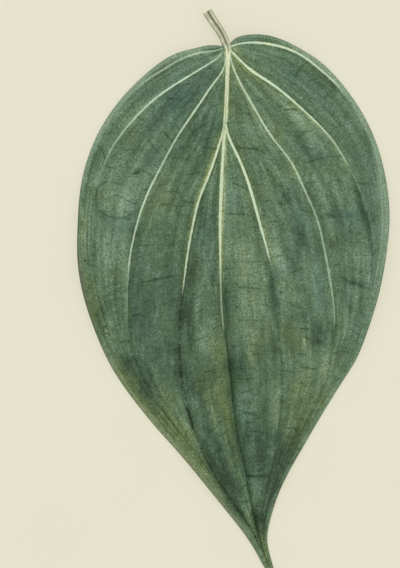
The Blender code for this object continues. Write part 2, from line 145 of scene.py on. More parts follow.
# Form of the blade, as in the solid: heights of the midrib and the margins down the leaf
SOLID_THICKNESS = 0.7
MIDRIB_LINE = (
    (0.0, 3.4), (0.12, 2.9), (0.25, 2.2), (0.38, 1.6), (0.44, 1.0), (0.5, 1.0), (0.64, 2.0),
    (0.78, 2.1), (0.92, 1.3), (1.0, 0.9),
)
LEFT_EDGE = (
    (0.0, 3.4), (0.05, 2.4), (0.13, 0.35), (0.2, 0.3), (0.34, 2.3), (0.47, 1.3), (0.56, 0.3),
    (0.64, 0.4), (0.76, 1.7), (0.88, 0.6), (1.0, 0.9),
)
RIGHT_EDGE = (
    (0.0, 3.4), (0.06, 3.2), (0.16, 0.5), (0.22, 0.3), (0.3, 1.4), (0.4, 2.9), (0.52, 1.4), (0.61, 0.3),
    (0.68, 0.4), (0.8, 1.3), (0.9, 0.7), (1.0, 0.9),
)
# From the midrib to the margin the height changes by this power of the share of the way
EDGE_BEND = 1.6
# Each half of the blade arches up between midrib and margin, growing from the stalk, ending at the tip
ARCH_HEIGHT = 3.0
ARCH_START = 22.0
ARCH_LEAN = 0.85
ARCH_END = (0.7, 1.0)
# The panels between the veins are crowned, and rippled across
PANEL_CROWN = 0.055
PANEL_CROWN_LIMIT = 0.8
RIPPLE_HEIGHT = 0.22
RIPPLE_LENGTH = 0.085
RIPPLE_SHIFT = 1.7
RIPPLE_START = (0.08, 0.2)
# Veins: the hollow above each and the rib below. A pair of values is at the stalk and at the tip, and
# sizes change between them by this power
TAPER_BEND = 0.6
HOLLOW_DEPTH = (
    (0, 0), (0.25, 0.0), (0.35, 0.05), (0.45, 0.2), (0.5, 0.3), (0.55, 0.3), (0.5, 0.3), (0.45, 0.2),
    (0.35, 0.05), (0.25, 0.0), (0, 0),
)
HOLLOW_HALF_WIDTH = 1.5
HOLLOW_START = 0.05
RIB_HEIGHT = {"midrib": (1.5, 0.3), "side": (0.85, 0.2)}
RIB_HALF_WIDTH = {"midrib": (1.3, 0.4), "side": (0.8, 0.35)}

# Pale cord of each vein at places down the leaf: share of the length, then half-width, strength and shift
# to the right, as numbered below
CORDS = {
    1: (
        (0, 0.18, 0.4, 0), (0.03, 0.28, 0.65, 0), (0.06, 0.28, 0.42, 0), (0.09, 0.26, 0.5, 0),
        (0.115, 0.2, 0.25, 0), (0.13, 0.18, 0.08, 0), (0.25, 0.15, 0, 0),
    ),
    2: (
        (0, 0.2, 0.1, 0), (0.008, 0.2, 0.6, 0), (0.025, 0.22, 0.75, 0), (0.06, 0.26, 0.9, 0.1),
        (0.1, 0.26, 0.9, 0.1), (0.15, 0.22, 0.75, 0.05), (0.21, 0.18, 0.35, 0), (0.24, 0.15, 0, 0),
    ),
    3: (
        (0.012, 0.15, 0.5, 0), (0.03, 0.2, 0.9, 0), (0.06, 0.26, 0.85, 0), (0.1, 0.26, 0.85, -0.15),
        (0.15, 0.26, 0.6, -0.15), (0.2, 0.25, 0.6, -0.1), (0.25, 0.25, 0.85, -0.1),
        (0.3, 0.23, 0.75, -0.1), (0.36, 0.24, 0.6, -0.1), (0.375, 0.18, 0.3, 0), (0.43, 0.14, 0.25, 0),
        (0.45, 0.1, 0, 0),
    ),
    4: (
        (0.12, 0.3, 0, 0), (0.135, 0.3, 1, 0), (0.2, 0.3, 0.95, 0.1), (0.25, 0.3, 0.85, 0.2),
        (0.35, 0.27, 0.8, 0.15), (0.42, 0.19, 0.75, 0.05), (0.445, 0.12, 0, 0),
    ),
    5: (
        (0, 0.72, 0.92, 0.15), (0.012, 0.72, 0.92, 0.15), (0.03, 0.52, 0.92, 0), (0.06, 0.52, 0.92, 0),
        (0.14, 0.5, 1, 0), (0.2, 0.34, 1, 0.1), (0.25, 0.42, 1, 0.2), (0.35, 0.36, 1, 0.15),
        (0.4, 0.27, 0.85, 0.1), (0.45, 0.2, 0.4, 0.05), (0.51, 0.18, 0.4, 0), (0.53, 0.1, 0, 0.2),
        (0.6, 0.1, 0, 0.5), (1, 0.1, 0, 0.3),
    ),
    6: (
        (0.12, 0.3, 0, 0), (0.135, 0.3, 1, 0), (0.25, 0.36, 1, 0), (0.35, 0.32, 0.9, 0),
        (0.395, 0.2, 0.85, 0), (0.42, 0.1, 0, 0),
    ),
    7: (
        (0.006, 0.12, 0.5, 0), (0.02, 0.2, 0.85, 0), (0.06, 0.27, 0.7, 0), (0.1, 0.27, 0.8, 0),
        (0.15, 0.26, 0.75, 0), (0.2, 0.24, 0.6, 0), (0.25, 0.24, 0.65, 0), (0.31, 0.24, 0.4, 0),
        (0.4, 0.26, 0.45, 0), (0.45, 0.26, 0.35, 0), (0.51, 0.2, 0.3, 0), (0.525, 0.1, 0, 0),
    ),
    8: (
        (0, 0.25, 1, 0), (0.03, 0.3, 1, 0), (0.05, 0.4, 1, 0), (0.08, 0.32, 1, 0),
        (0.15, 0.26, 0.85, 0), (0.2, 0.24, 0.6, 0), (0.24, 0.17, 0.5, 0), (0.255, 0.1, 0, 0),
        (0.27, 0.13, 0.25, 0), (0.31, 0.12, 0.15, 0), (0.33, 0.1, 0, 0),
    ),
    9: (
        (0, 0.22, 0.8, 0), (0.025, 0.26, 0.9, 0), (0.05, 0.32, 1, 0), (0.08, 0.28, 0.95, 0),
        (0.15, 0.27, 0.8, 0), (0.17, 0.15, 0.35, 0), (0.182, 0.12, 0, 0), (0.25, 0.12, 0.1, 0),
        (0.3, 0.14, 0.15, 0), (0.4, 0.14, 0.15, 0), (0.5, 0.1, 0, 0),
    ),
}
CORD_COLUMNS = {"half": 1, "cord": 2, "shift": 3}
# The raised cord is this much wider than the pale line on it, and never narrower than this
CORD_SPREAD = 1.15
NARROWEST_CORD = 0.25
# Where the cord has faded the vein is a crease, which loses a share of its depth by the tip. A cord hides
# this many times its strength of the crease.
CREASE_DEPTH = 0.08
CREASE_HALF_WIDTH = 0.35
CREASE_LOSS = 0.5
CREASE_COVER = 1.5
# How yellowish the cord of each vein is
CORD_WARMTH = (0, 0.3, 0.15, 0.5, 0.9, 1.0, 0.7, 0.5, 0.5, 0.6, 0)
# Painted shadow: a thin dark line to the right of each cord, as if cast by the raised cord, and its strength
# where the cord is whole
CORD_SHADOWS = (0, 0, 0, 0, 0.4, 0, 0.3, 0.2, 0.3, 0.1, 0)

# Painted light and shade beside each vein: share of the length, then left and right of the vein, painted
# shade above 0 and painted light below
SIDE_SHADES = {
    1: (
        (0, 0, 0.1), (0.12, 0, 0), (0.35, 0, 0.1), (0.6, 0, 0.2), (1, 0, 0),
    ),
    2: (
        (0, 0, 0.15), (0.06, 0.05, 0.2), (0.12, -0.1, 0.1), (0.18, -0.1, 0.2), (0.3, 0, 0), (1, 0, 0),
    ),
    3: (
        (0, 0.1, 0), (0.08, 0.15, 0.6), (0.15, 0, 0.65), (0.25, -0.1, 0.3), (0.3, 0, 0.6),
        (0.35, -0.1, 0.35), (0.45, -0.1, 0.4), (0.55, 0.2, 0), (0.65, 0.2, 0), (0.75, -0.05, 0.4),
        (0.9, 0, 0.1), (1, 0, 0),
    ),
    4: (
        (0.13, 0, 0), (0.2, 0, 0.2), (0.25, 0.05, 0.4), (0.3, 0.15, 0.65), (0.35, 0.4, 0.5),
        (0.43, 0.6, 0.65), (0.5, 0.5, 0.5), (0.6, 0.3, 0.4), (0.75, 0, 0.5), (0.85, -0.2, 0.4),
        (1, 0, 0.2),
    ),
    5: (
        (0, 0.1, 0), (0.08, 0.1, 0.1), (0.15, 0.1, -0.3), (0.2, 0.1, -0.6), (0.3, 0.4, -1.1),
        (0.38, 0.4, -0.7), (0.42, 0.4, 0.1), (0.45, 0.3, 0.6), (0.5, 0, 0.8), (0.6, -0.2, 1.0),
        (0.7, 0, 0.6), (0.8, 0.1, 0.6), (0.88, 0.15, 0.85), (1, 0.05, 0.3),
    ),
    6: (
        (0.13, 0, 0.1), (0.25, -0.1, 0.2), (0.35, 0, -0.3), (0.4, 0.3, 0.1), (0.45, 0.6, 0.4),
        (0.52, 0.2, 0.2), (0.6, 0, 0.25), (0.68, -0.25, 0.4), (0.75, 0, 0.2), (1, 0, 0),
    ),
    7: (
        (0, 0, 0.1), (0.08, -0.1, 0.1), (0.2, -0.15, 0), (0.3, 0.1, 0.05), (0.4, 0.3, 0),
        (0.5, 0.25, 0), (0.6, 0, 0.1), (0.75, 0.3, 0.2), (1, 0.2, 0),
    ),
    8: (
        (0, 0, 0.1), (0.08, 0.05, 0.15), (0.15, -0.3, 0.1), (0.22, -0.15, 0), (0.28, 0.4, 0.2),
        (0.36, 0.35, 0.1), (0.45, 0, -0.1), (1, 0, 0),
    ),
    9: (
        (0, 0, 0), (0.08, 0.1, -0.2), (0.2, 0.1, -0.1), (1, 0, 0),
    ),
}
SIDE_WIDTH = 1.4
# How dark the painted shade in the crease of each vein is where its pale cord has faded
CREASE_SHADES = (0, 0.15, 0.15, 0.3, 1.4, 0.15, 0.4, 0.2, 0.1, 0, 0)
VEIN_VALUES = {"cord_warmth": CORD_WARMTH, "right_line": CORD_SHADOWS, "crease": CREASE_SHADES}
# Yellowish fringe to the left and right of each vein, which fades within this distance of the branching
FRINGE_FADE = 0.02
FRINGES = (
    (0, 0), (0, 0), (0, 0.2), (0, 0.4), (1.0, 0.3), (0.5, 0.7), (0.2, 0.5), (0.5, 0.2), (0.5, 0),
    (0, 0), (0, 0),
)
# Band inside each margin: share of the length, width, paleness (dark below 0)
RIMS = {
    "left": (
        (0, 0.9, 0.3), (0.03, 1.2, 1.1), (0.12, 1.35, 1.2), (0.2, 1.3, 1.15), (0.27, 1.1, 0.6),
        (0.31, 1.0, -0.4), (0.38, 1.4, -1.8), (0.44, 1.2, 0.1), (0.5, 1.6, 0.6), (0.6, 1.7, 0.9),
        (0.78, 1.8, 1.0), (0.84, 1.3, 0.9), (0.9, 1.2, 0.5), (1, 0.6, 0.1),
    ),
    "right": (
        (0, 0.8, 0.2), (0.03, 1.2, 0.35), (0.06, 1.0, 0.55), (0.09, 1.4, 1.1), (0.12, 1.6, 1.25),
        (0.18, 1.6, 1.25), (0.21, 1.9, 1.2), (0.24, 1.3, 1.1), (0.27, 1.9, 1.2), (0.3, 3.0, 0.95),
        (0.34, 2.5, 0.95), (0.38, 2.0, 0.85), (0.43, 1.6, 0.6), (0.5, 1.2, 0.3), (0.55, 1.1, 0.4),
        (0.65, 1.0, 0.6), (0.71, 0.9, 0.5), (0.78, 0.8, 0.2), (0.85, 0.6, 0.2), (0.9, 0.6, 0.4),
        (1, 0.5, 0.0),
    ),
}
# How plain the thin line on each margin is: share of the length, strength
MARGIN_LINES = {
    "left": (
        (0, 0.4), (0.1, 0.25), (0.22, 0.3), (0.28, 0.55), (0.45, 0.6), (0.55, 0.35), (1, 0.35),
    ),
    "right": (
        (0, 0.35), (0.1, 0.15), (0.4, 0.15), (0.5, 0.3), (0.6, 0.2), (1, 0.15),
    ),
}
MARGIN_VALUES = {"band": (RIMS, 1), "rim": (RIMS, 2), "margin_line": (MARGIN_LINES, 1)}
SIDES = ("left", "right")

# Stalk, as in the solid
STALK_COURSE = ((-5.7, 10.5), (-4.2, 8.1), (-2.7, 5.9), (-1.4, 3.7), (-0.7, 2.2))
STALK_HALF_WIDTH = (1.35, 1.15)
STALK_HALF_DEPTH = 1.15
STALK_HEIGHT = (2.5, 2.9)
STALK_SIDE = 0.35
GROOVE_HALF_WIDTH = 0.5
# Share of the half-width over which the foot's own colours fade out
STALK_EDGE = (0.85, 1.15)
# The groove's painted shade lies a little to the right of its middle and fades over this distance
GROOVE_SHIFT = 0.13
GROOVE_SHADE = 0.36
GROOVE_FADE = 1.3
# Pale foot of the stalk as it runs into the midrib: y, x, half-width and how plain the groove is
STALK_FOOT = (
    (-3.2, 0.2, 0.7, 0), (-2.2, 0.22, 0.73, 0), (-1.6, 0.22, 0.75, 0.3), (-0.7, 0.17, 0.78, 0.55),
    (0.3, 0.08, 0.85, 0.6), (1.2, -0.28, 1.0, 0.8), (2.2, -0.7, 1.25, 1),
)

# Soft clouds: place, half-length, half-width, tilt from straight down in degrees,
# tone (dark above 0, light below) and warmth (olive above 0, blue below)
UPPER_LEFT_CLOUDS = (
    (-16.1, -15.7, 8.4, 3.4, -50, 0.35, -0.9), (-11.3, -12.9, 4.0, 2.5, -50, 0.25, -0.7),
    (-18.9, -7.3, 2.0, 3.0, -20, 0.3, -0.2), (-5.5, -6.8, 2.5, 2.0, 0, 0.15, -0.2),
    (-20.3, -22.1, 3.0, 2.5, -40, 0.2, -0.3), (-21.7, -30.2, 2.4, 1.7, -40, 0.3, -0.5),
    (-24.0, -12.0, 4.0, 2.0, -55, 0.15, -0.3), (-24.5, -18.5, 8.0, 2.8, -52, -0.5, 0.3),
    (-26.5, -24.9, 2.0, 1.7, -40, 0.05, 0.7), (-20.3, -33.9, 7.0, 2.0, -30, -0.25, 0),
    (-31.5, -40.5, 6.5, 5.8, 0, -0.35, -0.1), (-37.7, -42.3, 3.0, 2.0, 0, 0.25, 0),
    (-35.7, -30.5, 5.0, 2.5, -15, 0.2, 0), (-39.1, -32.5, 7.0, 1.2, -20, 0.25, -0.2),
    (-34.3, -22.7, 7.0, 1.0, -40, 0.2, 0), (-15.3, -30.5, 4.5, 1.4, -32, 0.3, 0),
    (-8.8, -17.6, 5.0, 1.3, -42, 0.15, 0.5), (-6.9, -18.3, 3.0, 1.4, -20, -0.15, -0.3),
    (-2.1, -19.5, 4.0, 0.9, 0, -0.3, 0), (-2.3, -10.0, 3.0, 0.8, 0, 0.3, 0),
    (-6.2, -23.5, 6.5, 2.4, -14, 0.5, -0.3), (-10.2, -25.2, 4.5, 2.4, -25, 0.4, 0.2),
    (-8.5, -31.1, 3.8, 1.8, -20, 0.4, 0.2), (-13.9, -40.0, 6.5, 2.0, -30, 0.25, 0.2),
    (-17.5, -37.5, 4.5, 2.0, -25, -0.15, 0.45), (-10.5, -0.8, 2.0, 8.0, 0, -0.6, 0.2),
    (0, -2.5, 3.0, 4.0, 0, -0.3, 0.5), (-4.6, -0.6, 1.2, 2.0, 0, 0.5, 0),
    (-27.3, -36.0, 3.0, 2.0, -20, -0.2, 0), (-14.7, -19.8, 4.0, 2.0, -40, 0, -0.4),
    (-41.2, -41.0, 5.0, 1.2, -5, 0.25, -0.2), (-34.5, -43.9, 2.5, 1.5, 0, -0.3, 0),
    (-5.0, -33.0, 4.0, 1.5, -10, -0.1, 0.4), (-5.9, -7.0, 5.0, 2.5, -30, 0, -0.6),
    (-5.5, -0.2, 1.0, 4.0, 0, 0.3, 0), (-19.5, -7.0, 3.0, 3.0, -50, 0, 0.4),
)
LEFT_CLOUDS = (
    (-34.9, -46.8, 2.6, 1.0, 35, 0.4, -0.2), (-28.7, -50.1, 3.0, 4.0, 0, 0.05, -0.4),
    (-32.1, -57.7, 8.0, 4.0, 0, -0.3, 0), (-18.9, -43.7, 4.0, 2.5, -15, -0.05, 0.35),
    (-15.5, -52.0, 8.0, 2.4, -5, 0.35, 0.2), (-23.9, -52.1, 3.5, 1.7, -15, 0.1, 0),
    (-24.5, -60.5, 6.0, 2.0, -5, 0.15, -0.2), (-25.3, -68.0, 3.2, 1.2, 0, 0.45, -0.4),
    (-30.1, -65.0, 3.5, 2.5, 0, 0.5, 0.4), (-17.5, -69.5, 9.0, 4.5, 0, 0.35, -0.2),
    (-9.7, -64.0, 6.0, 2.2, -5, 0.45, 0.1), (-9.9, -60.4, 6.5, 1.0, -5, 0.35, 0.3),
    (-6.9, -49.3, 6.0, 1.3, -5, 0.4, -0.6), (-4.1, -50.1, 8.0, 1.0, -2, 0.2, -0.5),
    (-6.2, -59.6, 6.0, 1.0, -3, -0.25, -0.2), (-40.4, -50.0, 9.0, 1.2, 0, -0.35, 0.6),
    (-38.5, -70.0, 9.0, 2.0, 10, 0.05, 1.0), (-26.5, -73.6, 3.6, 1.1, 0, 0.35, -0.6),
    (-21.7, -76.5, 5.0, 3.5, 0, 0.25, -0.3), (-32.0, -78.5, 6.0, 3.0, 10, -0.2, 0),
    (-35.0, -77.3, 4.0, 2.0, 15, 0.15, 0.5), (-28.1, -87.6, 1.8, 2.3, 0, 0.7, -0.2),
    (-23.9, -94.4, 9.0, 1.3, 36, 0.55, 0.1), (-27.5, -94.5, 13.0, 2.2, 36, -0.1, 1.1),
    (-17.0, -84.3, 3.0, 3.0, -30, 0.4, -0.1), (-23.1, -89.5, 5.0, 3.5, 0, 0.3, -0.3),
    (-18.9, -94.1, 6.0, 1.6, 25, -0.15, 0.3), (-11.6, -73.6, 3.4, 1.0, 0, 0.5, -0.2),
    (-9.8, -80.0, 6.0, 1.8, 0, 0.6, 0), (-9.7, -93.5, 6.5, 2.6, 15, 0.55, -0.2),
    (-11.3, -93.5, 3.0, 0.7, 0, -0.3, -0.5), (-6.6, -81.0, 6.0, 1.5, 0, -0.3, 0),
    (-20.6, -95.0, 4.5, 2.4, 20, 0.4, 0), (-19.3, -70.5, 6.0, 1.8, 0, 0.2, 0),
    (-34.3, -73.0, 3.0, 1.8, 5, 0.3, 0), (-4.2, -65.0, 3.5, 1.2, 0, 0.4, 0),
    (-15.5, -43.2, 4.0, 1.6, -20, 0.2, 0.4), (-19.7, -57.4, 3.5, 1.8, 0, -0.25, 0),
    (-3.8, -54.5, 4.0, 1.0, 0, -0.35, 0), (-12.7, -86.0, 2.6, 1.8, 0, -0.35, 0),
    (-26.3, -88.5, 2.5, 2.0, 5, 0.25, 0), (-21.7, -48.5, 4.5, 2.0, -15, 0.12, 0.3),
    (-24.3, -81.5, 4.0, 2.0, 0, 0, -0.5), (-15.4, -99.4, 4.0, 3.0, 30, 0, 0.6),
    (-13.0, -86.0, 20.0, 11.0, 15, 0.14, 0), (-34.5, -74.5, 3.5, 1.6, 10, 0.35, 0),
    (-13.9, -91.3, 3.0, 2.0, 0, 0.3, 0), (-21.5, -92.5, 3.0, 2.5, 20, 0.3, 0),
)
MIDDLE_CLOUDS = (
    (-3.0, -83.7, 6.0, 1.8, 5, -0.35, 0.5), (-1.0, -84.8, 5.0, 1.0, 3, -0.3, 0.4),
    (-1.5, -96.9, 9.0, 2.2, 6, 0.1, 0.8), (-6.0, -94.1, 4.5, 2.2, 0, 0.15, 0.7),
    (-2.1, -66.0, 5.0, 1.0, 0, -0.2, 0.1), (-0.1, -72.5, 6.5, 1.2, 4, 0.3, -0.1),
    (2.6, -87.6, 4.0, 2.2, 8, 0.7, -0.2), (1.5, -94.9, 6.0, 1.0, 3, 0.2, 0),
    (4.9, -91.0, 4.0, 2.0, 0, 0.35, 0), (4.3, -99.8, 5.5, 1.6, 8, -0.3, -0.5),
    (6.9, -84.8, 5.0, 1.5, 3, -0.25, 0.8), (6.3, -70.5, 10.0, 4.2, 3, -0.26, 0.3),
    (9.7, -83.7, 2.0, 0.5, 0, 0.4, 0.6), (11.3, -86.8, 6.0, 1.9, 4, 0.5, 0),
    (12.5, -67.0, 4.5, 0.9, 6, 0.3, -0.3), (12.8, -58.5, 4.5, 1.8, 4, -0.45, 0.1),
    (13.9, -100.0, 8.0, 1.7, -5, -0.6, 0), (11.5, -98.0, 6.0, 1.6, 0, 0.35, 0),
    (0.8, -50.7, 11.0, 1.8, 0, -0.35, -0.1), (4.9, -60.5, 6.0, 2.6, 0, -0.35, 0.2),
    (1.3, -43.1, 3.0, 1.6, 0, 0, -0.5), (6.0, -42.6, 3.0, 1.0, 15, 0, 0.7),
    (6.0, -48.4, 4.0, 1.4, 15, 0.35, 0.1), (8.5, -38.6, 4.0, 1.0, 25, 0.3, 0.4),
    (8.0, -22.7, 4.5, 2.5, 15, -0.25, 0.1), (2.7, -16.5, 2.0, 1.6, 0, 0.4, 0.2),
    (4.2, -4.5, 3.0, 2.2, 30, -0.1, 0.7), (2.4, -8.7, 1.8, 0.6, 0, -0.4, 0),
    (1.5, -20.0, 3.0, 1.2, 0, -0.4, 0), (-0.8, -9.0, 3.0, 0.7, 0, 0.3, 0),
    (12.0, -52.0, 4.5, 1.8, 5, -0.35, 0.2), (14.6, -70.0, 2.8, 2.2, 0, -0.1, 0),
    (6.5, -96.5, 4.5, 1.4, 5, 0.45, 0), (10.5, -81.0, 4.0, 2.0, 5, 0, 0.5),
    (16.0, -78.7, 3.0, 1.2, 0, 0, 0.2), (16.9, -84.5, 3.5, 1.3, 0, 0.35, 0),
    (13.8, -80.5, 6.0, 1.0, -5, 0.45, 0), (14.7, -58.2, 3.5, 2.0, 0, -0.5, -0.3),
    (-1.8, -36.0, 5.0, 1.0, 0, 0.25, -0.5), (-4.9, -91.3, 4.0, 1.6, 10, 0.35, 0),
)
RIGHT_CLOUDS = (
    (17.8, -6.8, 5.0, 2.4, 60, 0.2, -0.6), (23.1, -11.5, 8.0, 3.0, 45, 0.1, -0.3),
    (8.5, -10.1, 5.0, 1.2, 52, 0.2, 0.6), (16.1, -17.1, 5.0, 2.0, 25, -0.35, 0),
    (20.6, -20.6, 5.0, 1.9, 38, -0.5, 0), (24.2, -27.2, 4.0, 1.8, 30, -0.25, 0),
    (20.7, -27.5, 5.5, 1.2, 40, 0.4, -0.1), (25.2, -31.0, 1.6, 2.0, 0, 0.2, -0.4),
    (13.6, -23.2, 3.5, 1.2, 35, -0.1, 0.7), (34.8, -28.5, 4.0, 1.4, 20, 0.05, -0.3),
    (30.1, -17.1, 6.0, 2.0, 38, 0.2, -0.2), (34.3, -20.5, 4.0, 1.4, 30, -0.25, -0.3),
    (33.2, -34.5, 5.5, 2.2, 10, -0.35, 0), (36.8, -41.0, 6.8, 0.55, 17, 0.45, -0.1),
    (40.2, -58.3, 8.0, 0.5, 3, 0.15, 0), (33.5, -46.8, 2.6, 5.2, 0, 0.3, -0.7),
    (29.0, -46.8, 0.8, 1.8, -15, 0.35, 0), (29.3, -52.4, 2.5, 0.8, 30, -0.35, 0),
    (32.9, -52.4, 3.0, 3.0, 0, 0.3, -0.2), (36.0, -57.3, 4.0, 1.6, 15, -0.35, 0),
    (29.8, -55.2, 2.8, 1.2, 5, 0.5, 0.4), (35.9, -65.6, 3.4, 0.9, 68, 0.45, -0.3),
    (20.0, -47.5, 9.0, 2.2, 12, 0.1, -0.6), (19.7, -53.2, 3.4, 1.4, 5, 0.35, -0.4),
    (19.0, -60.5, 6.0, 1.5, 5, 0.3, -0.2), (16.1, -39.8, 3.0, 1.4, 28, 0.45, -0.2),
    (22.2, -34.3, 4.0, 1.5, 25, 0.3, 0.1), (23.7, -49.6, 6.0, 0.8, 15, 0.3, 0.1),
    (18.0, -82.0, 5.5, 2.6, 2, 0.15, 0.8), (25.3, -81.8, 2.2, 2.2, 0, 0.6, -0.4),
    (20.9, -74.6, 3.5, 2.0, 0, 0.4, -0.2), (25.3, -67.5, 8.0, 2.0, 4, -0.15, -0.7),
    (24.5, -77.3, 3.0, 3.0, 0, 0.25, 0), (27.6, -88.0, 5.5, 1.5, -10, -0.4, 0.3),
    (34.3, -72.0, 4.0, 1.0, 5, 0.4, -0.1), (21.7, -94.1, 7.0, 2.6, -10, -0.05, 0.5),
    (27.0, -98.0, 5.0, 2.5, -25, 0.1, 0.8), (36.0, -79.0, 7.0, 1.8, -22, 0.2, -0.2),
    (18.5, -34.5, 3.5, 1.8, 30, -0.5, 0), (39.6, -62.0, 6.0, 1.2, -5, -0.4, -0.2),
    (15.5, -42.3, 1.2, 5.0, 10, 0.3, 0), (26.0, -9.8, 4.0, 2.0, 50, 0.25, 0),
    (21.7, -67.0, 4.0, 1.4, 0, 0.25, 0), (22.5, -82.0, 3.0, 1.4, 0, 0.25, 0),
    (27.5, -78.9, 2.5, 1.8, 0, 0.6, -0.1), (24.5, -91.5, 3.0, 1.8, -10, -0.3, -0.3),
    (34.3, -78.7, 3.0, 1.6, -10, -0.3, 0), (41.0, -42.0, 20.0, 3.5, 0, 0, -0.45),
    (32.0, -57.3, 2.5, 1.6, 0, 0.25, 0), (19.3, -93.0, 4.0, 2.0, 0, 0, 0.4),
    (2.0, 0, 1.2, 0.8, 60, -0.7, 0.9), (18.1, -69.4, 3.5, 1.4, 0, -0.45, 0),
    (22.7, -82.9, 4.0, 2.0, 0, 0, 0.5),
)
TIP_CLOUDS = (
    (-10.2, -113.0, 15.0, 3.2, 38, -0.05, 0.9), (-16.1, -105.3, 8.0, 2.5, 40, 0, 0.7),
    (-7.0, -105.7, 8.5, 1.6, 20, 0.15, -0.2), (-3.2, -113.8, 8.0, 2.4, 22, 0.75, -0.3),
    (1.3, -122.0, 5.5, 1.7, 32, 0.75, -0.2), (-0.6, -104.8, 7.0, 1.6, 6, -0.15, 0.7),
    (1.5, -114.6, 5.0, 1.2, 10, 0.15, 0.5), (4.9, -125.4, 6.5, 1.0, 15, -0.5, 0.3),
    (4.9, -102.8, 3.0, 1.4, 0, -0.2, -0.5), (6.9, -107.5, 3.5, 1.8, 5, 0.3, -0.3),
    (9.9, -112.9, 9.0, 3.2, 0, 1.05, -0.2), (8.5, -124.5, 4.0, 1.6, 5, -0.4, -0.3),
    (15.8, -113.7, 7.0, 2.2, -28, 0.4, 0), (13.0, -124.0, 4.5, 1.6, -18, 0.55, -0.1),
    (9.1, -131.9, 5.0, 1.8, 2, 0.75, 0.2), (10.4, -139.5, 4.0, 1.2, 5, -0.2, 0.9),
    (3.5, -107.2, 4.0, 0.7, 5, 0.3, -0.2), (20.3, -108.1, 6.0, 3.0, -30, 0.2, 0.8),
    (14.7, -101.1, 4.0, 1.8, 0, 0.25, 0.2), (19.6, -99.5, 3.0, 2.0, -20, 0.4, 0),
    (0.7, -111.0, 4.0, 1.5, 10, 0.3, 0), (2.0, -127.6, 4.0, 1.5, 33, 0.85, 0.3),
    (-10.5, -106.0, 3.0, 2.4, 20, -0.35, 0.3), (-5.0, -119.5, 4.0, 1.8, 30, -0.3, 0),
    (7.7, -110.5, 4.0, 2.0, 0, 0, -0.4), (11.5, -145.0, 6.0, 3.0, 15, 0.1, 0.9),
    (14.7, -115.6, 4.0, 2.2, -20, 0.4, 0), (13.3, -107.2, 3.0, 2.0, 0, 0.5, -0.2),
    (6.9, -126.3, 4.0, 1.3, 10, -0.4, 0), (8.5, -135.0, 6.0, 2.5, 20, 0, 0.7),
    (9.8, -133.0, 2.8, 0.9, 0, 0.55, -0.5), (6.9, -128.0, 2.5, 0.8, 15, -0.2, 0),
    (19.7, -101.1, 5.0, 3.0, 0, 0, 0.5), (-4.3, -102.5, 4.5, 1.2, 8, 0.15, 0.6),
)
CLOUDS = UPPER_LEFT_CLOUDS + LEFT_CLOUDS + MIDDLE_CLOUDS + RIGHT_CLOUDS + TIP_CLOUDS

# Fine strokes, mostly cross veins that stand out: place, half-length, tilt in degrees, rise of the ends,
# half-width and tone (dark above 0, light below)
STROKES = (
    (-31.0, -47.4, 5.4, -3, 2.2, 0.3, 0.5), (-36.9, -41.8, 3.6, 90, -0.6, 0.3, 0.4),
    (-25.5, -34.7, 1.4, 18, 0, 0.4, 0.9), (-19.2, -64.4, 6.2, 12, 0, 0.2, 0.7),
    (-26.5, -28.3, 3.6, 0, 0, 0.18, 0.35), (-25.3, -74.5, 1.7, 10, 0, 0.25, 0.7),
    (-11.1, -42.8, 2.0, -5, 0, 0.2, 0.6), (-32.3, -68.6, 2.6, 20, 0, 0.16, 0.35),
    (-23.9, -54.9, 3.6, -5, 0, 0.15, 0.3), (6.0, -28.0, 4.4, -8, 0, 0.2, 0.6),
    (9.9, -29.1, 1.0, -40, 0, 0.25, 0.6), (1.8, -20.7, 3.4, -3, 0, 0.18, 0.4),
    (17.5, -17.1, 2.2, 2, 0, 0.22, 0.9), (23.9, -37.5, 2.0, 0, 0, 0.2, 0.5),
    (21.4, -23.2, 2.4, 2, 0, 0.16, 0.35), (3.5, -38.4, 2.6, -22, 0, 0.2, 0.6),
    (2.9, -46.2, 4.0, -3, -0.3, 0.2, 0.6), (5.5, -59.6, 5.6, 1, 0, 0.15, 0.45),
    (6.0, -66.9, 4.0, -6, 0, 0.18, 0.6), (35.6, -65.8, 3.4, -20, 0, 0.45, 0.4),
    (28.7, -46.5, 1.6, -12, 0, 0.4, 0.5), (6.9, -75.9, 3.6, -2, 0, 0.15, 0.35),
    (8.3, -82.9, 2.6, -10, 0, 0.16, 0.5), (22.8, -89.3, 2.4, -12, 0, 0.18, 0.6),
    (21.4, -78.4, 1.3, -8, 0, 0.2, 0.5), (18.1, -95.8, 2.2, -14, 0, 0.15, 0.4),
    (-3.2, -99.1, 2.2, 4, 0, 0.16, 0.35), (6.0, -101.9, 2.8, -15, 0, 0.25, 0.6),
    (17.8, -106.1, 1.8, -8, 0, 0.2, 0.6), (8.3, -119.6, 3.5, 2, 0.2, 0.3, 0.9),
    (38.8, -37.8, 3.4, -10, 0, 0.15, 0.35), (13.0, -48.4, 1.8, 3, 0, 0.15, 0.4),
    (37.9, -57.7, 2.2, -3, 0, 0.15, 0.3), (21.4, -82.0, 1.8, 90, 0, 0.25, -0.6),
    (3.5, -59.8, 1.4, 0, 0, 0.15, -0.5), (-4.6, -0.1, 3.0, 4, 0, 0.3, 0.7),
)
# Dark specks: place, half-length and half-width
SPECKS = (
    (2.7, -72.2, 0.4, 0.35), (2.7, -65.8, 0.3, 0.25), (15.0, -68.0, 0.35, 0.3),
    (-17.4, -28.1, 0.3, 0.25), (-25.5, -35.0, 0.4, 0.3), (-39.9, -59.2, 0.4, 0.35),
)

# The clouds' edges wander to and fro by noise: the length of its lumps, how far the edges move, its detail,
# and the seed that makes it the same on every run
CLOUD_LUMPS = 5.0
CLOUD_WANDER = 1.2
CLOUD_DETAIL = 3
CLOUD_SEED = 7

# Share of its red, green and blue that a colour keeps at a tone of 1
DARKEST = (0.31, 0.39, 0.315)
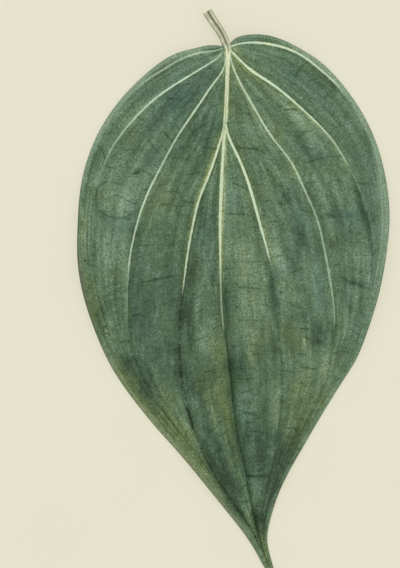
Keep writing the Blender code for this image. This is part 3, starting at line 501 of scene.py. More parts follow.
# Noise in the leaf's material: length of its lumps, detail and roughness
NOISES = {
    "cloud": (14.0, 3.0, 0.5), "sway": (7.0, 0.0, 0.5), "drift": (5.0, 3.0, 0.5),
    "mottle": (1.6, 3.0, 0.65), "grain": (0.45, 2.0, 0.7),
}
STREAKS_ACROSS_PANEL = 6.0
STREAKS_DOWN_LEAF = 10.0
# Size of the meshes of fine and coarse veinlets
NET_SIZE = 1.15
COARSE_NET_SIZE = 3.4
# Cross veins: how many down the leaf, how far each panel's are shifted and how much they sway
RUNG_COUNT = 48.0
RUNG_STAGGER = 0.37
RUNG_SWAY = 1.5
# How much of each pattern goes into the green's warmth, the tone of each surface and the relief
GREEN_WARMTH = {"warmth": 1.0, "cloud": 0.9, "drift": 1.1, "streak": 0.5}
# The green's tone takes painted light and shade beside the veins and painted shade in their creases
GREEN_TONE = {
    "grain": 2.4, "mottle": 0.7, "streak": 2.2, "drift": 0.6, "net": 0.1, "coarse_net": 0.08, "rungs": 0.42,
    "side_shade": 1.0, "strokes": 1.0, "fold": 1.0,
}
MARGIN_TONE = {"grain": 2.0, "streak": 1.2}
CORD_TONE = {"grain": 0.6}
STALK_TONE = {"mottle": 0.5, "grain": 0.6}
LOWER_TONE = {"mottle": 0.4, "streak": 0.4, "grain": 0.5}
VEINLET_RELIEF = {"net": 0.35, "coarse_net": 0.3, "rungs": 0.6, "strokes": 0.8}
SKIN_RELIEF = {"mottle": 0.5, "grain": 0.3}
RELIEF_DEPTH = 0.22
RELIEF_STRENGTH = 0.6

# Mesh
FINE_SAMPLES = 600
ROWS_NEAR_STALK = 50
ROWS_TO_TIP = 270
STALK_END_ROW = 0.1
LAST_ROW = 0.985
COLUMN_COUNTS = (1, 2, 4, 8, 12, 16, 20, 24)
COLUMN_SPACING = 0.65
COLUMN_CROWDING = 0.6
STALK_SAMPLES = 200
STALK_ROWS = 36
STALK_COLUMNS = 40
BRIDGE_ROWS = 8
# Distances are measured to every third sample of a course, for this many points at once
SAMPLE_STEP = 3
BATCH = 4000
# Rows are counted from the cut end through the foot of the stalk to the blade, which goes from 0 to 1
CUT_END_ROW = -1.5
FOOT_ROW = -0.5
WHOLE_FOOT_ROW = -0.35

# Floor: its drop below the leaf in metres, then the length of its soft clouds in millimetres and their shade
FLOOR_GAP = 0.0003
FLOOR_LUMPS = 40.0
FLOOR_SHADE = 0.97
# Lights, in metres
MAIN_LIGHT = {"place": (-0.35, 0.45, 0.8), "size": 1.0}
FILL_LIGHT = {"place": (0.6, -0.2, 0.7), "size": 0.8}
# Camera, in millimetres: the middle of its view, the length of leaf and floor that fills it, and its sensor
VIEW_CENTRE = (-7.7, -65.8)
VIEW_LENGTH = 159.5
SENSOR = 36.0


def colour(red, green, blue):
    """Linear colour of display values from 0 to 255."""
    shown = np.array([red, green, blue]) / 255
    return tuple(np.where(shown <= 0.04045, shown / 12.92, ((shown + 0.055) / 1.055) ** 2.4).tolist())


def smooth_course(points, samples):
    """Natural cubic spline through the points, sampled at even steps of its length."""
    knots = np.array(points, dtype=float)
    reach = np.linalg.norm(np.diff(knots, axis=0), axis=1)
    at = np.concatenate([[0.0], np.cumsum(reach)])
    count = len(knots)
    system = np.eye(count)
    bend = np.zeros((count, 2))
    slope = np.diff(knots, axis=0) / reach[:, None]
    for i in range(1, count - 1):
        system[i, i - 1:i + 2] = reach[i - 1], 2 * (reach[i - 1] + reach[i]), reach[i]
        bend[i] = 6 * (slope[i] - slope[i - 1])
    curve = np.linalg.solve(system, bend)
    fine = np.linspace(0.0, at[-1], samples * 2)
    i = np.clip(np.searchsorted(at, fine, side="right") - 1, 0, count - 2)
    span = reach[i][:, None]
    after = (fine - at[i])[:, None]
    before = span - after
    line = (curve[i] * before ** 3 + curve[i + 1] * after ** 3) / (6 * span)
    line += (knots[i] / span - curve[i] * span / 6) * before
    line += (knots[i + 1] / span - curve[i + 1] * span / 6) * after
    run = np.concatenate([[0.0], np.cumsum(np.linalg.norm(np.diff(line, axis=0), axis=1))])
    even = np.linspace(0.0, run[-1], samples)
    return np.column_stack([np.interp(even, run, line[:, 0]), np.interp(even, run, line[:, 1])])


def levelled_course(points):
    """A vein or margin sampled so that equal steps on all of them lie abreast."""
    line = smooth_course(points, FINE_SAMPLES * 2)
    to_tip = np.linalg.norm(line - TIP, axis=1)
    turn = int(np.argmax(to_tip < TURN_RADIUS))
    level = np.empty(len(line))
    level[:turn] = TURN_SHARE * np.arange(turn) / turn
    level[turn:] = 1 - (1 - TURN_SHARE) * to_tip[turn:] / TURN_RADIUS
    even = np.linspace(0.0, 1.0, FINE_SAMPLES)
    return np.column_stack([np.interp(even, level, line[:, 0]), np.interp(even, level, line[:, 1])])


def ease(low, high, value):
    """0 below low, 1 above high and smooth between them."""
    part = np.clip((value - low) / (high - low), 0.0, 1.0)
    return part * part * (3 - 2 * part)


def between(ends, share):
    return ends[0] + (ends[1] - ends[0]) * share


def through(stations, v):
    """Smooth height along the leaf through (share of the length, height) stations."""
    at, height = np.array(stations).T
    i = np.clip(np.searchsorted(at, v, side="right") - 1, 0, len(at) - 2)
    return height[i] + (height[i + 1] - height[i]) * ease(at[i], at[i + 1], v)


def taper(ends, v):
    return between(ends, v ** TAPER_BEND)


def begun(index, down):
    """How far a vein has parted from the midrib, from 0 to 1."""
    return ease(*BRANCH_GROWTH, down) if index in BRANCHES else np.ones_like(down)


def from_table(table, key, down, column):
    """A column of a vein's or margin's table at places down the leaf."""
    stations = np.array(table[key], dtype=float)
    return np.interp(down, stations[:, 0], stations[:, column])


class Blade:
    """Places in the blade: u runs across it from vein to vein, v from the stalk (0) to the tip (1)."""

    def __init__(self):
        self.stack = np.array([levelled_course(points) for points in COURSES])

    def place(self, u, v):
        column = np.clip(np.floor(u).astype(int), 0, LAST_COURSE - 1)
        share = (u - column)[:, None]
        at = v * (FINE_SAMPLES - 1)
        i = np.clip(np.floor(at).astype(int), 0, FINE_SAMPLES - 2)
        part = (at - i)[:, None]
        near = self.stack[column, i] * (1 - part) + self.stack[column, i + 1] * part
        far = self.stack[column + 1, i] * (1 - part) + self.stack[column + 1, i + 1] * part
        return near * (1 - share) + far * share

    def row_points(self, v):
        return self.place(np.arange(LAST_COURSE + 1.0), np.full(LAST_COURSE + 1, v))

    def row_columns(self, v):
        """Columns of one row, closer together beside the veins."""
        columns = []
        for index, width in enumerate(np.linalg.norm(np.diff(self.row_points(v), axis=0), axis=1)):
            count = next((n for n in COLUMN_COUNTS if width <= n * COLUMN_SPACING), COLUMN_COUNTS[-1])
            even = np.arange(count) / count
            crowded = 0.5 - 0.5 * np.cos(np.pi * even)
            columns.append(index + even + (crowded - even) * COLUMN_CROWDING)
        return np.concatenate(columns + [[float(LAST_COURSE)]])

    def across(self, u, v):
        """Share of the way from the midrib (0) to the left (-1) or the right margin (1)."""
        share = np.empty(len(u))
        for level in np.unique(v):
            here = v == level
            steps = np.linalg.norm(np.diff(self.row_points(level), axis=0), axis=1)
            run = np.concatenate([[0.0], np.cumsum(steps)])
            run -= run[MIDRIB_INDEX]
            reach = np.interp(u[here], np.arange(LAST_COURSE + 1.0), run)
            share[here] = np.where(reach < 0, reach / -run[0], reach / run[-1])
        return share

    def panel_width(self, u, v):
        column = np.clip(np.floor(u), 0, LAST_COURSE - 1)
        return np.linalg.norm(self.place(column + 1, v) - self.place(column, v), axis=1)

    def from_courses(self, plan):
        """Distance of each plan point from each course, and how far down that course it lies."""
        away = np.empty((LAST_COURSE + 1, len(plan)))
        down = np.empty((LAST_COURSE + 1, len(plan)))
        for index in range(LAST_COURSE + 1):
            course = self.stack[index, ::SAMPLE_STEP]
            start = course[:-1]
            step = np.diff(course, axis=0)
            size = (step ** 2).sum(axis=1)
            for first in range(0, len(plan), BATCH):
                gap = plan[first:first + BATCH, None, :] - start
                part = np.clip((gap * step).sum(axis=2) / size, 0.0, 1.0)
                far = ((gap - part[..., None] * step) ** 2).sum(axis=2)
                nearest = far.argmin(axis=1)
                rows = np.arange(len(nearest))
                away[index, first:first + BATCH] = np.sqrt(far[rows, nearest])
                down[index, first:first + BATCH] = (nearest + part[rows, nearest]) / len(start)
        return away, down


def veins_at(sizes, v, away, down):
    """Depth of the hollows, height of the cords and ribs and depth of the creases at each plan point."""
    hollow, cord, rib, crease = np.zeros((4, len(v)))
    for index in VEINS:
        kind = "midrib" if index == MIDRIB_INDEX else "side"
        gap = away[index]
        place = down[index]
        start = begun(index, place)
        swell = np.clip(1 - (gap / taper(RIB_HALF_WIDTH[kind], place)) ** 2, 0, 1)
        rib = np.maximum(rib, start * taper(RIB_HEIGHT[kind], place) * swell)
        dip = start * taper(HOLLOW_DEPTH[index], place) * np.exp(-(gap / HOLLOW_HALF_WIDTH) ** 2)
        hollow = np.maximum(hollow, dip * ease(0.0, HOLLOW_START, place))
        shown = from_table(CORDS, index, place, CORD_COLUMNS["cord"])
        width = from_table(CORDS, index, place, CORD_COLUMNS["half"])
        width = np.maximum(width * CORD_SPREAD, NARROWEST_CORD)
        cord = np.maximum(cord, shown * sizes.cord_height / MM * np.clip(1 - (gap / width) ** 2, 0, 1))
        fold = np.exp(-(gap / CREASE_HALF_WIDTH) ** 2) * start
        bare = 1 - np.minimum(shown * CREASE_COVER, 1)
        crease = np.maximum(crease, CREASE_DEPTH * bare * fold * (1 - CREASE_LOSS * v))
    return hollow, cord, rib, crease


def blade_heights(blade, sizes, u, v, plan):
    """Upper and lower height of the blade at each plan point, and its distances from the courses."""
    away, down = blade.from_courses(plan)
    hollow, cord, rib, crease = veins_at(sizes, v, away, down)
    across = blade.across(u, v)
    side = np.abs(across)
    edge = np.where(across < 0, through(LEFT_EDGE, v), through(RIGHT_EDGE, v))
    spine = through(MIDRIB_LINE, v)
    grown = ease(0.0, ARCH_START, np.linalg.norm(plan, axis=1))
    arch = ARCH_HEIGHT * grown * np.sin(np.pi * side ** ARCH_LEAN) * (1 - ease(*ARCH_END, v))
    share = u - np.floor(u)
    hump = 4 * share * (1 - share)
    crown = np.minimum(PANEL_CROWN * blade.panel_width(u, v), PANEL_CROWN_LIMIT) * hump
    phase = 2 * np.pi * v / RIPPLE_LENGTH + RIPPLE_SHIFT * np.floor(u)
    ripple = RIPPLE_HEIGHT * np.sin(phase) * hump * ease(*RIPPLE_START, v) * (1 - v)
    middle = spine + (edge - spine) * side ** EDGE_BEND + arch + grown * (crown + ripple) - hollow
    lower = np.maximum(middle - SOLID_THICKNESS / 2 - rib, 0.0)
    face = np.maximum(middle - SOLID_THICKNESS / 2, 0.0)
    upper = face + sizes.thickness / MM + cord - crease
    return upper, lower, away, down


def rightward(course, i):
    """Direction across the stalk, to the right, at a point of its course."""
    ahead = course[i + 1] - course[i]
    ahead /= np.linalg.norm(ahead)
    return np.array([-ahead[1], ahead[0]])


class Rows:
    """Rows of points from the cut end of the stalk to the tip, each with its columns and heights."""

    def __init__(self, blade, sizes):
        self.blade = blade
        self.sizes = sizes
        self.columns = []
        self.levels = []
        self.plans = []
        self.add_stalk()
        self.add_bridge()
        self.add_blade()
        self.lengths = [len(columns) for columns in self.columns]
        self.u = np.concatenate(self.columns)
        self.v = np.concatenate(self.levels)
        self.plan = np.concatenate(self.plans)
        self.set_heights()
        self.set_foot()

    def add(self, columns, level, plan):
        self.columns.append(columns)
        self.levels.append(np.full(len(columns), float(level)))
        self.plans.append(plan)

    def add_stalk(self):
        course = smooth_course(STALK_COURSE, STALK_SAMPLES)
        steps = np.sin(np.linspace(-0.5, 0.5, STALK_COLUMNS + 1) * np.pi)
        for part in np.linspace(0.0, 1.0, STALK_ROWS):
            i = min(int(part * (STALK_SAMPLES - 1)), STALK_SAMPLES - 2)
            plan = course[i] + steps[:, None] * between(STALK_HALF_WIDTH, part) * rightward(course, i)
            self.add((steps + 1) * LAST_COURSE / 2, CUT_END_ROW + part, plan)

    def add_bridge(self):
        """Adds rows that lead from the round stalk into the blade."""
        last = self.plans[-1]
        columns = self.columns[-1]
        first = self.blade.place(columns, np.zeros(len(columns)))
        for part in np.linspace(0.0, 1.0, BRIDGE_ROWS + 2)[1:-1]:
            self.add(columns, FOOT_ROW * (1 - part), last * (1 - part) + first * part)

    def add_blade(self):
        near = np.linspace(0.0, STALK_END_ROW, ROWS_NEAR_STALK)[:-1]
        far = np.linspace(STALK_END_ROW, LAST_ROW, ROWS_TO_TIP)
        for v in np.concatenate([near, far]):
            columns = self.blade.row_columns(v)
            self.add(columns, v, self.blade.place(columns, np.full(len(columns), v)))
        self.add(np.array([float(MIDRIB_INDEX)]), 1.0, np.array([TIP]))

    def set_heights(self):
        """Heights of every point: round along the stalk, eased across the bridge, then the blade's own."""
        on_blade = np.maximum(self.v, 0.0)
        heights = blade_heights(self.blade, self.sizes, self.u, on_blade, self.plan)
        upper, lower, self.away, self.down = heights
        self.across_stalk = self.u / LAST_COURSE * 2 - 1
        part = np.clip(self.v - CUT_END_ROW, 0.0, 1.0)
        half = between(STALK_HALF_WIDTH, part)
        level = between(STALK_HEIGHT, part)
        bulge = STALK_HALF_DEPTH * np.sqrt(np.clip(1 - self.across_stalk ** 2, 0, 1))
        bulge = np.maximum(bulge, STALK_SIDE / 2)
        groove = self.sizes.groove_depth / MM * np.exp(-(self.across_stalk * half / GROOVE_HALF_WIDTH) ** 2)
        blend = ease(FOOT_ROW, 0.0, self.v)
        self.upper = (level + bulge - groove) * (1 - blend) + upper * blend
        self.lower = (level - bulge) * (1 - blend) + lower * blend

    def set_foot(self):
        """Where the stalk's own colours show, and its groove, down to their end on the midrib."""
        x, y = self.plan.T
        level, middle, half, plain = np.array(STALK_FOOT).T
        middle, half, plain = [np.interp(y, level, row) for row in (middle, half, plain)]
        on_foot = ease(FOOT_ROW, WHOLE_FOOT_ROW, self.v)
        self.across_stalk += ((x - middle) / half - self.across_stalk) * on_foot
        side = np.abs(self.across_stalk)
        self.stalk = (1 - on_foot * ease(*STALK_EDGE, side)) * ease(level[0], level[1], y)
        # The groove's dark colour is painted shade in the recess
        from_groove = np.abs(self.across_stalk * half - GROOVE_SHIFT * plain)
        self.groove = np.clip(GROOVE_FADE - from_groove / GROOVE_SHADE, 0.0, 1.0) * plain


def zip_rows(first, second, start, middle, triangles):
    """Triangles between two neighbouring rows of columns, whose vertices count up from start and middle."""
    i = j = 0
    while i < len(first) - 1 or j < len(second) - 1:
        if j == len(second) - 1 or (i < len(first) - 1 and first[i + 1] <= second[j + 1]):
            triangles.append((start + i, middle + j, start + i + 1))
            i += 1
        else:
            triangles.append((start + i, middle + j, middle + j + 1))
            j += 1


def plan_triangles(rows):
    """Triangles of the plan and the loop of vertices round it."""
    starts = np.concatenate([[0], np.cumsum(rows.lengths)]).tolist()
    columns = [row.tolist() for row in rows.columns]
    triangles = []
    for k in range(len(columns) - 1):
        zip_rows(columns[k], columns[k + 1], starts[k], starts[k + 1], triangles)
    left = starts[:-1]
    right = [start - 1 for start in starts[1:-1]]
    cut_end = list(range(1, rows.lengths[0] - 1))
    return np.array(triangles), np.array(left + right[::-1] + cut_end[::-1])


def cloud_fields(plan):
    """Tone and warmth of the soft clouds at each plan point."""
    noise.seed_set(CLOUD_SEED)
    places = [(x, y, 0.0) for x, y in plan / CLOUD_LUMPS]
    wander = np.array([noise.turbulence_vector(place, CLOUD_DETAIL, False) for place in places])[:, :2]
    ragged = plan + wander * CLOUD_WANDER
    total = np.zeros((2, len(plan)))
    for x, y, length, width, tilt, tone, warmth in CLOUDS:
        turn = np.radians(tilt)
        away = ragged - (x, y)
        along = away[:, 0] * np.sin(turn) - away[:, 1] * np.cos(turn)
        beside = away[:, 0] * np.cos(turn) + away[:, 1] * np.sin(turn)
        total += np.outer((tone, warmth), np.exp(-(along / length) ** 2 - (beside / width) ** 2))
    return total


class LeafMesh:
    """Mesh data of the leaf, with the fields that its material reads."""

    def __init__(self, sizes):
        self.rows = Rows(Blade(), sizes)
        upper, loop = plan_triangles(self.rows)
        self.count = len(self.rows.plan)
        after = np.roll(loop, -1)
        rim = np.vstack([
            np.column_stack([after, loop, loop + self.count]),
            np.column_stack([after, loop + self.count, after + self.count]),
        ])
        lower = upper[:, [0, 2, 1]] + self.count
        self.faces = np.vstack([upper, lower, rim])
        self.is_upper = np.repeat([1.0, 0.0, 0.5], [len(upper), len(lower), len(rim)])

    def vertices(self):
        rows = self.rows
        upper = np.column_stack([rows.plan, rows.upper])
        lower = np.column_stack([rows.plan, rows.lower])
        return np.vstack([upper, lower]) * MM

    def corner_fields(self):
        """Fields that belong to the vein nearest to each face, one value a corner."""
        rows = self.rows
        vertex = self.faces % self.count
        middle = rows.u[vertex].mean(axis=1)
        nearest = np.clip(np.round(middle).astype(int), 0, LAST_COURSE)
        joined = (rows.v[vertex].mean(axis=1) < BRANCH_START) & np.isin(nearest, BRANCHES)
        nearest[joined] = MIDRIB_INDEX
        is_right = np.repeat((middle > nearest)[:, None], 3, axis=1)
        corner_vein = np.repeat(nearest[:, None], 3, axis=1)
        gap = rows.away[corner_vein, vertex]
        down = rows.down[corner_vein, vertex]
        names = (*CORD_COLUMNS, *VEIN_VALUES, "side_shade", "fringe")
        fields = {name: np.zeros_like(gap) for name in names}
        for index in VEINS:
            here = corner_vein == index
            place = down[here]
            right = is_right[here]
            for name, column in CORD_COLUMNS.items():
                fields[name][here] = from_table(CORDS, index, place, column)
            for name, values in VEIN_VALUES.items():
                fields[name][here] = values[index]
            # Painted light and shade on the left and the right side of the nearest vein
            left_shade, right_shade = [from_table(SIDE_SHADES, index, place, column) for column in (1, 2)]
            fields["side_shade"][here] = np.where(right, right_shade, left_shade)
            left_fringe, right_fringe = FRINGES[index]
            fields["fringe"][here] = np.where(right, right_fringe, left_fringe)
            if index in BRANCHES or index == MIDRIB_INDEX:
                fields["fringe"][here] *= ease(0.0, FRINGE_FADE, np.abs(place - BRANCH_START))
        fields["side_shade"] *= np.exp(-(gap / SIDE_WIDTH) ** 2)
        fields["gap"] = gap
        fields["offset"] = np.where(is_right, gap, -gap) - fields.pop("shift")
        fields["upper"] = np.repeat(self.is_upper[:, None], 3, axis=1)
        return fields

    def point_fields(self):
        """Fields of each point, the same on the upper and the lower face."""
        rows = self.rows
        v = np.maximum(rows.v, 0.0)
        tone, warmth = cloud_fields(rows.plan)
        on_left = rows.away[0] < rows.away[LAST_COURSE]
        fields = {
            "u": rows.u,
            "v": v,
            "edge": np.minimum(rows.away[0], rows.away[LAST_COURSE]),
            "groove": rows.groove,
            "stalk": rows.stalk,
            "stalk_across": rows.across_stalk,
            "tone": tone,
            "warmth": warmth,
        }
        for name, (tables, column) in MARGIN_VALUES.items():
            fields[name] = np.where(on_left, *[from_table(tables, side, v, column) for side in SIDES])
        return {name: np.tile(values, 2) for name, values in fields.items()}

    def make(self, name):
        mesh = bpy.data.meshes.new(name)
        mesh.from_pydata(self.vertices().tolist(), [], self.faces.tolist())
        for domain, fields in (("CORNER", self.corner_fields()), ("POINT", self.point_fields())):
            for field, values in fields.items():
                layer = mesh.attributes.new(field, "FLOAT", domain)
                layer.data.foreach_set("value", values.ravel().astype(np.float32))
        mesh.shade_smooth()
        return mesh


def junction_place():
    """Where the junction of stalk and blade lies in the frame, in metres."""
    stalk = smooth_course(STALK_COURSE, STALK_SAMPLES)
    reach = STALK_HALF_WIDTH[0] * rightward(stalk, 0)
    ends = [stalk[0] - reach, stalk[0] + reach]
    outline = np.vstack([levelled_course(MARGIN_LEFT), levelled_course(MARGIN_RIGHT), ends])
    low, high = CAD_BOX
    middle = (outline.min(axis=0) + outline.max(axis=0)) / 2 * MM
    return Vector(((low.x + high.x) / 2 - middle[0], (low.y + high.y) / 2 - middle[1], low.z))


class Value:
    """A shader value. Arithmetic on it adds the Math nodes that work it out."""

    def __init__(self, paint, socket):
        self.paint = paint
        self.socket = socket

    def __add__(self, other):
        return self.paint.math("ADD", self, other)

    def __sub__(self, other):
        return self.paint.math("SUBTRACT", self, other)

    def __rsub__(self, other):
        return self.paint.math("SUBTRACT", other, self)

    def __mul__(self, other):
        return self.paint.math("MULTIPLY", self, other)

    def __truediv__(self, other):
        return self.paint.math("DIVIDE", self, other)

    def __rtruediv__(self, other):
        return self.paint.math("DIVIDE", other, self)

    def __pow__(self, other):
        return self.paint.math("POWER", self, other)

    def __rpow__(self, other):
        return self.paint.math("POWER", other, self)

    __radd__ = __add__
    __rmul__ = __mul__

    def above(self, limit):
        return self.paint.math("GREATER_THAN", self, limit)

    def largest(self, other):
        return self.paint.math("MAXIMUM", self, other)

    def size(self):
        return self.paint.math("ABSOLUTE", self)

    def part(self):
        return self.paint.math("FRACT", self)

    def floor(self):
        return self.paint.math("FLOOR", self)

    def ease(self, low, high):
        """0 below low, 1 above high and smooth between them."""
        settings = {"interpolation_type": "SMOOTHSTEP"}
        inputs = {"Value": self, "From Min": low, "From Max": high}
        return self.paint.node("ShaderNodeMapRange", settings, inputs)

    def bell(self, width):
        """1 at zero, falling off smoothly by width to each side."""
        scaled = self / width
        return 1.0 / (1.0 + (scaled * scaled) ** 2)


class Paint:
    """Builds the nodes of one material."""

    def __init__(self, name):
        self.material = bpy.data.materials.new(name)
        self.material.use_nodes = True
        self.tree = self.material.node_tree
        self.shader = self.tree.nodes["Principled BSDF"]

    def node(self, kind, settings=None, inputs=None, output=0):
        """Adds a node, sets it, then gives its sockets their values or links."""
        made = self.tree.nodes.new(kind)
        for name, value in (settings or {}).items():
            setattr(made, name, value)
        pairs = inputs.items() if isinstance(inputs, dict) else enumerate(inputs or [])
        for key, value in pairs:
            self.feed(made.inputs[key], value)
        return Value(self, made.outputs[output])

    def feed(self, socket, value):
        if isinstance(value, Value):
            self.tree.links.new(value.socket, socket)
        elif socket.type == "RGBA" and len(value) == 3:
            socket.default_value = (*value, 1.0)
        else:
            socket.default_value = value

    def set_shader(self, inputs):
        for name, value in inputs.items():
            self.feed(self.shader.inputs[name], value)

    def math(self, operation, *values):
        return self.node("ShaderNodeMath", {"operation": operation}, values)

    def vector_math(self, operation, *values):
        return self.node("ShaderNodeVectorMath", {"operation": operation}, values)

    def field(self, name):
        """A field stored in the mesh."""
        return self.node("ShaderNodeAttribute", {"attribute_name": name}, output="Fac")

    def place(self, origin):
        """Place on the object in millimetres from an origin given in metres."""
        where = self.node("ShaderNodeTexCoord", output="Object")
        return self.vector_math("MULTIPLY_ADD", where, (1 / MM,) * 3, [-at / MM for at in origin])

    def vector(self, x, y, z):
        return self.node("ShaderNodeCombineXYZ", None, [x, y, z])

    def axis(self, vector, index):
        return self.node("ShaderNodeSeparateXYZ", None, [vector], output=index)

    def noise(self, where, length, detail=2.0, roughness=0.5):
        """Soft noise from 0 to 1 with lumps of the given length."""
        inputs = {"Vector": where, "Scale": 1 / length, "Detail": detail, "Roughness": roughness}
        return self.node("ShaderNodeTexNoise", None, inputs)

    def from_cell_edge(self, where, length):
        """Distance from the edges of cells of the given length, in cells."""
        inputs = {"Vector": where, "Scale": 1 / length}
        return self.node("ShaderNodeTexVoronoi", {"feature": "DISTANCE_TO_EDGE"}, inputs)

    def mix(self, share, first, second):
        """Colour between first (share 0) and second (share 1)."""
        settings = {"data_type": "RGBA", "clamp_factor": True}
        return self.node("ShaderNodeMix", settings, {0: share, 6: first, 7: second}, output=2)

    def shade(self, base, tone):
        """The colour made darker by a tone above 0, or lighter by one below."""
        return self.vector_math("MULTIPLY", base, self.vector(*[keep ** tone for keep in DARKEST]))

    def bump(self, height, distance, strength):
        inputs = {"Height": height, "Distance": distance, "Strength": strength}
        return self.node("ShaderNodeBump", None, inputs)


class LeafPaint(Paint):
    """The leaf's material: green upper face, paler lower face, pale veins and stalk."""

    FIELDS = (
        "gap", "offset", "right_line", "cord", "cord_warmth", "half", "side_shade", "crease", "fringe",
        "upper", "u", "v", "edge", "band", "rim", "margin_line", "groove", "stalk", "stalk_across", "tone",
        "warmth",
    )

    def __init__(self, hues):
        super().__init__("leaf")
        self.hues = hues
        self.where = self.place(junction_place())
        self.x = self.axis(self.where, 0)
        self.y = self.axis(self.where, 1)
        for name in self.FIELDS:
            setattr(self, name, self.field(name))
        for name, (length, detail, roughness) in NOISES.items():
            setattr(self, name, self.noise(self.where, length, detail, roughness) - 0.5)
        self.make_patterns()
        self.finish()

    def sum_of(self, shares):
        """The named patterns, each times its share, added up."""
        return sum(getattr(self, name) * share for name, share in shares.items())

    def make_patterns(self):
        """Streaks, veinlets and strokes that colour and relief share."""
        streaked = self.vector(self.u * STREAKS_ACROSS_PANEL, self.v * STREAKS_DOWN_LEAF, 0.0)
        self.streak = self.noise(streaked, 1.0, 4.0, 0.6) - 0.5
        wobble = self.noise(self.where, 3.0)
        bent = self.vector_math("ADD", self.where, self.vector(wobble, wobble, 0.0))
        self.net = 1.0 - self.from_cell_edge(bent, NET_SIZE).ease(0.02, 0.11)
        self.coarse_net = 1.0 - self.from_cell_edge(bent, COARSE_NET_SIZE).ease(0.01, 0.05)
        self.rungs = self.make_rungs()
        self.strokes = self.make_strokes()
        self.specks = self.make_specks()
        self.beside = self.offset.size() - self.half
        self.pale = self.cord * (1.0 - (self.beside + self.mottle * 0.3).ease(-0.12, 0.14))
        # Painted shade in the crease of each vein where its pale cord has faded
        broken = (self.drift + self.mottle).ease(-0.25, 0.2)
        self.fold = self.crease * broken * (1.0 - self.cord) * self.offset.bell(0.3)

    def make_rungs(self):
        """Thin cross veins that run from vein to vein like rungs, broken here and there."""
        share = self.u.part()
        stagger = self.u.floor() * RUNG_STAGGER + self.sway * RUNG_SWAY
        along = self.v * RUNG_COUNT + stagger + share * (1.0 - share)
        line = (along.part() - 0.5).size()
        patch = self.noise(self.where, 3.2).ease(0.47, 0.62)
        return (1.0 - line.ease(0.02, 0.09)) * patch

    def make_strokes(self):
        """Tone of the fine strokes."""
        total = 0.0
        rough = self.noise(self.where, 2.5) * 0.45 - 0.22
        for x, y, length, tilt, rise, width, tone in STROKES:
            turn = np.radians(tilt)
            cosine = float(np.cos(turn))
            sine = float(np.sin(turn))
            out = self.x - x
            up = self.y - y
            along = (out * cosine + up * sine) / length
            beside = up * cosine - out * sine + rough
            if rise:
                beside = beside - along * along * rise
            total = total + beside.bell(width) * (1.0 - along.size().ease(0.6, 1.1)) * tone
        return total

    def make_specks(self):
        total = 0.0
        for x, y, length, width in SPECKS:
            out = (self.x - x) / length
            up = (self.y - y) / width
            total = (1.0 - (out * out + up * up).ease(0.5, 1.3)).largest(total)
        return total

    def upper_colour(self):
        hues = self.hues
        fringe = self.fringe * (self.beside - 0.3).bell(0.5) * self.cord
        warmth = self.sum_of(GREEN_WARMTH) + fringe * 1.2 - 0.05
        green = self.mix(warmth * -0.9, hues.green, hues.blue_green)
        green = self.mix(warmth * 0.9, green, hues.olive)
        # Painted shadow: a thin dark line just to the right of each pale cord
        right_line = self.cord * self.right_line * (self.offset - self.half - 0.22).bell(0.22)
        patchy = self.tone * (1.0 + self.mottle * 0.8 + self.streak)
        green = self.shade(green, patchy + self.sum_of(GREEN_TONE) + right_line - fringe * 0.4 + 0.04)
        green = self.mix(self.specks * 0.85, green, hues.speck)
        return self.add_cords(self.add_margin(green))

    def add_margin(self, green):
        """A pale or dark band inside the margin and a thin brownish line on it."""
        hues = self.hues
        blade = 1.0 - self.stalk
        inward = (self.edge + self.drift * 1.5 + self.mottle * 0.8) / self.band
        band = (1.0 - inward.ease(0.15, 1.6)) * blade
        pale = self.mix(self.v.ease(0.35, 0.6) * self.x.ease(9.0, 3.0), hues.margin, hues.margin_warm)
        pale = self.shade(pale, self.sum_of(MARGIN_TONE))
        green = self.mix(band * self.rim * 0.75, green, pale)
        green = self.mix(band * self.rim * -0.5, green, hues.margin_line)
        line = 1.0 - (self.edge + self.mottle * 0.3).ease(0.12, 0.42)
        return self.mix(line * self.margin_line * blade, green, hues.margin_line)

    def add_cords(self, green):
        warmth = self.cord_warmth - self.v * 1.2 + (self.mottle + self.drift) * 1.2
        pale = self.mix(warmth, self.hues.vein, self.hues.vein_warm)
        return self.mix(self.pale, green, self.shade(pale, self.sum_of(CORD_TONE)))

    def stalk_colour(self):
        hues = self.hues
        lengthwise = self.vector(self.stalk_across * 3.0, self.v + self.y * 0.08, 0.0)
        stripe = self.noise(lengthwise, 1.0, 3.0)
        pale = self.mix((stripe + self.mottle * 0.5).ease(0.3, 0.7), hues.stalk, hues.stalk_shade)
        pale = self.mix(self.y.ease(2.0, -0.5), pale, hues.vein_warm)
        rim = self.stalk_across.size().ease(0.74, 0.86) * self.stalk
        pale = self.mix(rim * 0.85, pale, hues.stalk_edge)
        return self.shade(pale, self.sum_of(STALK_TONE))

    def lower_colour(self):
        hues = self.hues
        base = self.mix(self.cloud.ease(-0.2, 0.2), hues.under, hues.under_deep)
        base = self.shade(base, self.sum_of(LOWER_TONE))
        base = self.mix(self.net.largest(self.coarse_net) * 0.22, base, hues.under_vein)
        rib = 1.0 - (self.gap - self.half * 1.5).ease(-0.05, 0.35)
        return self.mix(rib * 0.85, base, hues.under_vein)

    def relief(self):
        """Height of the fine relief: sunk veinlets above and raised ones below."""
        turned = 1.0 - self.upper * 2.0
        fine = self.sum_of(VEINLET_RELIEF) * turned + self.sum_of(SKIN_RELIEF)
        return fine * (1.0 - self.stalk * 0.8)

    def finish(self):
        on_top = self.upper.above(0.25)
        blade = self.mix(on_top, self.lower_colour(), self.upper_colour())
        shown = self.mix(self.stalk, blade, self.stalk_colour())
        # Painted shade in the groove along the stalk
        shown = self.mix(self.groove.ease(0.1, 0.8) * on_top * 0.95, shown, self.hues.groove)
        dull = 0.5 + self.mottle * 0.22 + self.grain * 0.15 + (1.0 - self.upper) * 0.2
        self.set_shader({
            "Base Color": shown,
            "Roughness": dull + self.pale * 0.08,
            "Specular IOR Level": 0.25,
            "Normal": self.bump(self.relief(), RELIEF_DEPTH * MM, RELIEF_STRENGTH),
        })


